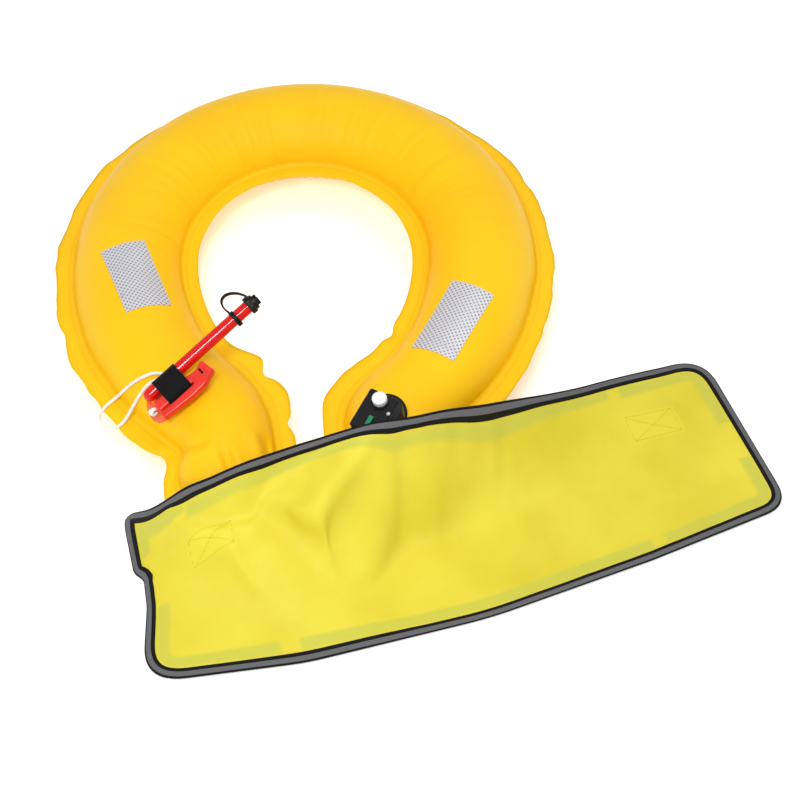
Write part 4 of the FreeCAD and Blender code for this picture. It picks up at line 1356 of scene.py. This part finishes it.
def stitches(name, cloth, runs, lift, material):
    """Sewn thread along lines of the flat cut, one small rounded bar for each stitch."""
    verts, faces = [], []
    sides = 5
    for run in runs:
        run = np.asarray(run, float)
        length = np.linalg.norm(np.diff(run, axis=0), axis=1).sum()
        fine = resample(run, 200)
        for a in resample(run, max(int(length / STITCH_PITCH), 2))[:-1]:
            nearest = int(np.argmin(np.linalg.norm(fine - a, axis=1)))
            ahead = fine[min(nearest + 1, 199)] - fine[min(nearest, 198)]
            ahead = ahead / (np.linalg.norm(ahead) + 1e-12)
            ends = [cloth.spot(*(a + ahead * STITCH_LENGTH * share), lift + rise)
                    for share, rise in ((0, 0), (0.5, THREAD_RISE), (1, 0))]
            along = (ends[2] - ends[0]).normalized()
            side = along.cross(Vector((0, 0, 1))).normalized()
            up = side.cross(along)
            base = len(verts)
            for spot, radius in zip(ends, (0.6, 1.0, 0.6)):
                for k in range(sides):
                    turn = 2 * math.pi * k / sides
                    verts.append(spot + (side * math.cos(turn) + up * math.sin(turn))
                                 * radius * THREAD_RADIUS)
            faces += grid_faces(3, sides, wrap_columns=True, start=base)
            faces += [tuple(base + k for k in reversed(range(sides))),
                      tuple(base + 2 * sides + k for k in range(sides))]
    slot = "binding" if material == "thread_black" else "cover"
    return mesh_piece(name, verts, faces, slot, material=material)


def make_stitching(cloth):
    runs = []
    for left, middle, length, width in LOOPS.values():
        pad = 0.08 * width
        x0, x1 = left + pad, left + length - pad
        y0, y1 = middle - width / 2 + pad, middle + width / 2 - pad
        corners = [(x0, y0), (x1, y0), (x1, y1), (x0, y1)]
        runs += [(a, b) for a, b in zip(corners, corners[1:] + corners[:1])]
        runs += [(corners[0], corners[2]), (corners[1], corners[3])]
    box = stitches("loop_stitching", cloth, runs, 0.0001, "thread_yellow")
    points, inward = edge_frames(0.012)
    seam = points + inward * 0.0085
    edge = stitches("binding_stitching", cloth, [np.concatenate([seam, seam[:1]])], 0.0011,
                    "thread_black")
    return [box, edge]


# ---- oral tube ---------------------------------------------------------------------------
HOSE_END_MM = 136
RING_PLACE_MM = 116
COLLAR_RADIUS_MM, STEP_RADIUS_MM, CROWN_RADIUS_MM, PLUG_RADIUS_MM = 10, 8.5, 6, 4.2


def make_dust_cap():
    """A stepped cap: ribbed collar, smooth step and a crown with four teeth."""
    end = HOSE_END_MM

    def ribs(x, radius, turn):
        if end + 0.8 < x < end + 5.8 and radius > STEP_RADIUS_MM:
            return radius - 0.45 * (0.5 + 0.5 * math.cos(24 * turn))
        return radius

    profile = [(end - 7, PLUG_RADIUS_MM - 0.5), (end - 6.5, PLUG_RADIUS_MM),
               (end + 0.3, PLUG_RADIUS_MM), (end + 0.3, 9.3), (end + 0.9, COLLAR_RADIUS_MM)]
    profile += [(end + 0.9 + 4.8 * k / 6, COLLAR_RADIUS_MM) for k in range(1, 7)]
    profile += [(end + 6.3, 9.4), (end + 6.4, STEP_RADIUS_MM), (end + 9.4, STEP_RADIUS_MM),
                (end + 10, STEP_RADIUS_MM - 0.6), (end + 10, CROWN_RADIUS_MM),
                (end + 10.6, CROWN_RADIUS_MM - 0.2), (end + 10.7, 0.4)]
    cap = lathe("dust_cap_moulding", TUBE, profile, "black_plastic", "dust_cap", 144, ribs)
    verts, faces = [], []
    teeth, arc_steps = 4, 7
    for tooth in range(teeth):
        base = len(verts)
        for x in (end + 9.8, end + 13.4, end + 14):
            for k in range(arc_steps):
                turn = 2 * math.pi * (tooth + 0.5 + 0.62 * (k / (arc_steps - 1) - 0.5)) / teeth
                soft = 0.5 if x > end + 13.5 else 0
                for radius in (CROWN_RADIUS_MM - soft, 3.2 + soft):
                    verts.append((x, radius * math.cos(turn), radius * math.sin(turn)))
        level = 2 * arc_steps
        for row in range(2):
            for k in range(arc_steps - 1):
                a = base + row * level + 2 * k
                faces += [(a, a + 2, a + 2 + level, a + level),
                          (a + 3, a + 1, a + 1 + level, a + 3 + level)]
            for k in (0, arc_steps - 1):
                a = base + row * level + 2 * k
                faces.append((a + 1, a, a + level, a + 1 + level))
        for k in range(arc_steps - 1):
            a = base + 2 * level + 2 * k
            faces.append((a, a + 2, a + 3, a + 1))
    crown = mesh_piece("dust_cap_crown", placed(TUBE, verts), faces, "black_plastic", "dust_cap")
    weld_close(crown)
    sharpen(crown, 40)
    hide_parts("dust_cap")


def make_cap_tether():
    """A flat rubber strap that bows out from the ring on the hose to the cap."""
    reach, bow, lean = 12.5, 20.5, 4.5
    middle, out = RING_PLACE_MM + 14.5, 10.3
    verts = []
    steps = 48
    half_wide, half_thick = 1.9, 1.0
    section = [(-half_wide, -half_thick), (half_wide, -half_thick), (half_wide, half_thick),
               (-half_wide, half_thick)]
    for k in range(steps + 1):
        turn = math.pi * k / steps
        centre = Vector((middle - reach * math.cos(turn) - lean * math.sin(turn),
                         out + bow * math.sin(turn), 0))
        outward = Vector((-bow * math.cos(turn), reach * math.sin(turn) + lean * math.cos(turn),
                          0)).normalized()
        for wide, thick in section:
            verts.append(centre + outward * thick + Vector((0, 0, wide)))
    faces = grid_faces(steps + 1, 4, wrap_columns=True)
    faces += [(3, 2, 1, 0), tuple(range(len(verts) - 4, len(verts)))]
    piece = mesh_piece("cap_tether_strap", placed(TUBE, verts), faces, "black_rubber", None)
    weld_close(piece)
    bevelled(piece, 0.0004, 2)
    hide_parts("cap_tether")
    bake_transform(piece)


WHISTLE_PLACE_MM = Vector((0, -18, -1))
WHISTLE = TUBE @ Matrix.Translation(WHISTLE_PLACE_MM * MM)
WHISTLE_HALF_MM = 4.5
# two chambers side by side, joined at the mouth, with a gap for the sleeve's wall between them
WHISTLE_CORNERS_MM = [(-4, -7.4, 3), (41, -7.4, 1.2), (41, -10.4, 1.2), (-5, -10.4, 3),
                      (-6, -18, 4), (30, -21, 12), (50, -20, 10), (58, -16, 6), (66, -13, 2),
                      (63, 6, 2.5), (51, 1, 8), (42, 2.5, 6), (37, 5, 4), (-4, 5, 3)]
# bars on the whistle's face: (name, slot, middle x, middle y, length, width)
# the first bar is painted shade: a black bar on the solid face stands for the shadow inside the
# sound slot
WHISTLE_BARS_MM = [("whistle_slot_shade", "black_rubber", 55, -5, 2.4, 8),
                   ("whistle_rib", "whistle", 24, -15.5, 30, 0.9)]
# turns of the cord's knot: (centre, axis, radius)
KNOT_TURNS_MM = [((-9.2, 0, 0), (0, 1, 0), 3.7), ((-9.2, 1.6, 0.2), (0.3, 1, 0.2), 3.0),
                 ((-9.0, -1.6, 0), (-0.3, 1, -0.1), 3.0)]
CORD_TURN_MM = 1.4


def make_whistle():
    """A flat whistle: two chambers, wide mouth, a black bar of painted shade for the sound slot's
    opening, a rib and a cord lug.
    """
    outline, _ = rounded_outline(WHISTLE_CORNERS_MM, 6)
    count = len(outline)
    verts = []
    levels = [(-WHISTLE_HALF_MM, 1.6), (-WHISTLE_HALF_MM + 0.5, 0.6), (-WHISTLE_HALF_MM + 1.7, 0),
              (WHISTLE_HALF_MM - 1.7, 0), (WHISTLE_HALF_MM - 0.5, 0.6), (WHISTLE_HALF_MM, 1.6)]
    along = np.roll(outline, -1, 0) - np.roll(outline, 1, 0)
    along /= np.linalg.norm(along, axis=1)[:, None] + 1e-12
    inward = np.stack([-along[:, 1], along[:, 0]], 1)
    for z, inset in levels:
        for p in outline + inward * inset:
            verts.append((p[0], p[1], z))
    faces = grid_faces(len(levels), count, wrap_columns=True)
    faces += [tuple(reversed(range(count))), tuple(range(len(verts) - count, len(verts)))]
    piece = mesh_piece("whistle_moulding", placed(WHISTLE, verts), faces, "whistle", "whistle")
    weld_close(piece)
    sharpen(piece, 50)
    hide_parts("whistle")
    for name, slot, x, y, length, width in WHISTLE_BARS_MM:
        box_piece(name, WHISTLE, (x - length / 2, y - width / 2, WHISTLE_HALF_MM - 0.4),
                  (x + length / 2, y + width / 2, WHISTLE_HALF_MM + 0.25), slot, "whistle", 0.22, 2)
    lug = ring_tube(WHISTLE, (-4.5, 0, 0), (0, 0, 1), 2.9, 1.1)
    piece = mesh_piece("whistle_lug", lug[0], lug[1], "whistle", "whistle")
    weld_close(piece)


def ring_tube(matrix, centre_mm, axis, radius_mm, thick_mm, steps=40, around=14):
    """A torus in a local frame: its vertices in the row frame, and its faces."""
    axis = Vector(axis).normalized()
    side = axis.orthogonal().normalized()
    other = axis.cross(side)
    verts = []
    for i in range(steps):
        a = 2 * math.pi * i / steps
        out = side * math.cos(a) + other * math.sin(a)
        for k in range(around):
            b = 2 * math.pi * k / around
            verts.append(Vector(centre_mm) + out * (radius_mm + thick_mm * math.cos(b))
                         + axis * thick_mm * math.sin(b))
    return placed(matrix, verts), grid_faces(steps, around, True, True)


HOSE_FOOT_RADIUS_MM = 7.15


def make_hose_foot():
    """The hose's rounded lower end, over the elbow."""
    profile = []
    for degrees in range(0, 91, 9):
        a = math.radians(degrees)
        profile.append((-HOSE_FOOT_RADIUS_MM * math.cos(a),
                        max(HOSE_FOOT_RADIUS_MM * math.sin(a), 0.05)))
    profile.append((BAND_FROM_MM + 3, HOSE_FOOT_RADIUS_MM))
    lathe("hose_foot", TUBE, profile, "tube_red", "oral_tube")


def make_whistle_knot():
    """The cord's knot at the lug: three snug turns."""
    verts, faces = [], []
    for centre, axis, radius in KNOT_TURNS_MM:
        more, more_faces = ring_tube(WHISTLE, centre, axis, radius, CORD_TURN_MM)
        faces += [tuple(len(verts) + k for k in f) for f in more_faces]
        verts += more
    piece = mesh_piece("whistle_cord_knot", verts, faces, "cord", "whistle")
    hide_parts("whistle_knot")


BAND_FROM_MM, BAND_TO_MM = 9, 39


def make_band():
    """Knitted elastic sleeve round the hose and the whistle, ribbed round its edges."""
    circles = ((0.0, 0.0, 8.2), (-20.0, -1.0, 7.0))
    outline = convex_outline(circle_points(circles))
    outline = resample(np.array(outline + outline[:1]), 121)[:-1]
    middle = outline.mean(0)
    verts, uvs = [], []
    stretch = 0.77
    lengths = np.linspace(BAND_FROM_MM, BAND_TO_MM, 41)
    rows = [(x, 0.0) for x in lengths] + [(x, -1.1) for x in lengths[::-1]]
    for x, inset in rows:
        rib = 0.16 * math.cos(2 * math.pi * (x - BAND_FROM_MM) / 2.0)
        edge = min(x - BAND_FROM_MM, BAND_TO_MM - x)
        flare = 0.35 * math.exp(-edge / 1.5)
        for k, p in enumerate(outline):
            out = p - middle
            out = out / np.linalg.norm(out)
            q = p + out * (inset + (rib + flare if inset == 0 else 0))
            verts.append((x, q[0], q[1]))
            uvs.append((x * MM, k * stretch * MM))
    faces = grid_faces(len(rows), len(outline), True, True)
    piece = mesh_piece("elastic_sleeve", placed(TUBE, verts), faces, "elastic", "oral_tube")
    flat_uv(piece, uvs)
    weld_close(piece, 1e-7)
    sharpen(piece, 60)
    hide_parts("elastic_band")


def circle_points(circles, steps=48):
    return [(y + r * math.cos(2 * math.pi * k / steps), z + r * math.sin(2 * math.pi * k / steps))
            for y, z, r in circles for k in range(steps)]


def convex_outline(points):
    """The convex outline round the points, anticlockwise."""
    points = sorted(set(points))
    chain = []
    for order in (points, points[::-1]):
        part = []
        for p in order:
            while len(part) > 1 and ((part[-1][0] - part[-2][0]) * (p[1] - part[-2][1])
                                     - (part[-1][1] - part[-2][1]) * (p[0] - part[-2][0])) <= 0:
                part.pop()
            part.append(p)
        chain += part[:-1]
    return chain


# ---- inflator ----------------------------------------------------------------------------
INFLATOR_TOP_MM = 27
BODY_X_MM, BODY_Y_MM = (-17, 17), (-36, 10)
AXIS_UP = INFLATOR @ Matrix.Rotation(-math.pi / 2, 4, "Y")


def make_cap_nut():
    """The white round nut: knurled side, domed top with a shallow dimple."""
    base, radius = INFLATOR_TOP_MM + 1.5, 7.7

    def knurl(x, r, turn):
        if base + 0.8 < x < base + 5.6 and r > 7:
            return r - 0.3 * (0.5 + 0.5 * math.cos(20 * turn))
        return r

    profile = [(base, 6.1), (base, 7.2), (base + 0.6, radius)]
    profile += [(base + 0.6 + 5.0 * k / 5, radius) for k in range(1, 6)]
    profile += [(base + 6.5, 7.0), (base + 7.2, 5.6), (base + 7.5, 4.0), (base + 7.3, 2.6),
                (base + 6.9, 1.2), (base + 6.85, 0.05)]
    nut = lathe("cap_nut_moulding", AXIS_UP, profile, "white_plastic", "jacket", 120, knurl)
    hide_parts("cap_nut")


def box_piece(name, matrix, low, high, slot, body, bevel_mm, segments=3):
    """A box with rounded edges between two opposite corners."""
    outline = [(low[0], low[1]), (high[0], low[1]), (high[0], high[1]), (low[0], high[1])]
    prism_piece(name, matrix, outline, low[2], high[2], slot, body, bevel_mm, segments)


def prism_piece(name, matrix, outline, low, high, slot, body, bevel_mm, segments=3):
    """An upright prism with rounded edges over an anticlockwise outline."""
    count = len(outline)
    verts = [(x, y, z) for z in (low, high) for x, y in outline]
    faces = grid_faces(2, count, wrap_columns=True)
    faces += [tuple(reversed(range(count))), tuple(range(count, 2 * count))]
    piece = mesh_piece(name, placed(matrix, verts), faces, slot, body)
    bevelled(piece, bevel_mm * MM, segments)


RIB_COUNT, RIB_FROM_MM, RIB_PITCH_MM = 5, 5.5, 2.2
SHOULDER_OUTLINE_MM = [(8, -16), (24, -14), (26, 0), (21, 8), (8, 9.4)]
SCREWS_MM = [(14.5, -9), (13.2, -24)]


def make_inflator_details():
    """Moulded ribs, a chamfered shoulder and screw heads on the housing."""
    top = INFLATOR_TOP_MM
    for k in range(RIB_COUNT):
        x = RIB_FROM_MM + RIB_PITCH_MM * k
        box_piece(f"housing_rib_{k}", INFLATOR, (x, BODY_Y_MM[0] + 4, top - 0.3),
                  (x + 1.0, BODY_Y_MM[0] + 13, top + 0.5), "black_plastic", "jacket", 0.25)
    prism_piece("housing_shoulder", INFLATOR, SHOULDER_OUTLINE_MM, 6, top - 1.2, "black_plastic",
                "jacket", 0.8)
    for k, (x, y) in enumerate(SCREWS_MM):
        matrix = AXIS_UP @ Matrix.Translation(Vector((0, y, -x)) * MM)
        profile = [(top - 0.4, 2.2), (top + 0.3, 2.2), (top + 0.7, 1.7), (top + 0.75, 0.9),
                   (top + 0.2, 0.8), (top + 0.2, 0.05)]
        lathe(f"housing_screw_{k}", matrix, profile, "steel", "jacket", 32)


# ---- carried-over fittings ------------------------------------------------------------------
NODE_MATERIALS = {
    "tube_flange": "flange_red", "oral_tube": "tube_red", "check_valve_body": "white_plastic",
    "valve_poppet": "white_plastic", "tether_ring": "black_rubber",
    "inflator_manifold": "black_rubber", "lower_gasket": "black_rubber",
    "inflator_body": "black_plastic", "collar_washer": "black_plastic",
    "lever_pivot_pin": "steel", "pull_lever": "black_plastic", "firing_pin": "steel",
    "bottle_gasket": "black_rubber", "indicator_clip": "green_plastic",
    "co2_cylinder": "bottle",
}


def finish_fittings():
    for name, slot in NODE_MATERIALS.items():
        slots = nodes[name].data.materials
        slots.clear()
        slots.append(MATERIALS[slot])


make_camera()
make_studio()
make_cords()
bladder = make_bladder()
bladder_tree = tree_of(bladder)
make_patches(bladder_tree)
cover, settled_cloth = make_cover()
trim = [make_binding(settled_cloth)]
trim += make_strips(settled_cloth)
trim += make_loops(settled_cloth)
trim += make_stitching(settled_cloth)
make_dust_cap()
make_cap_tether()
make_whistle()
make_hose_foot()
make_whistle_knot()
make_band()
make_cap_nut()
make_inflator_details()
finish_fittings()
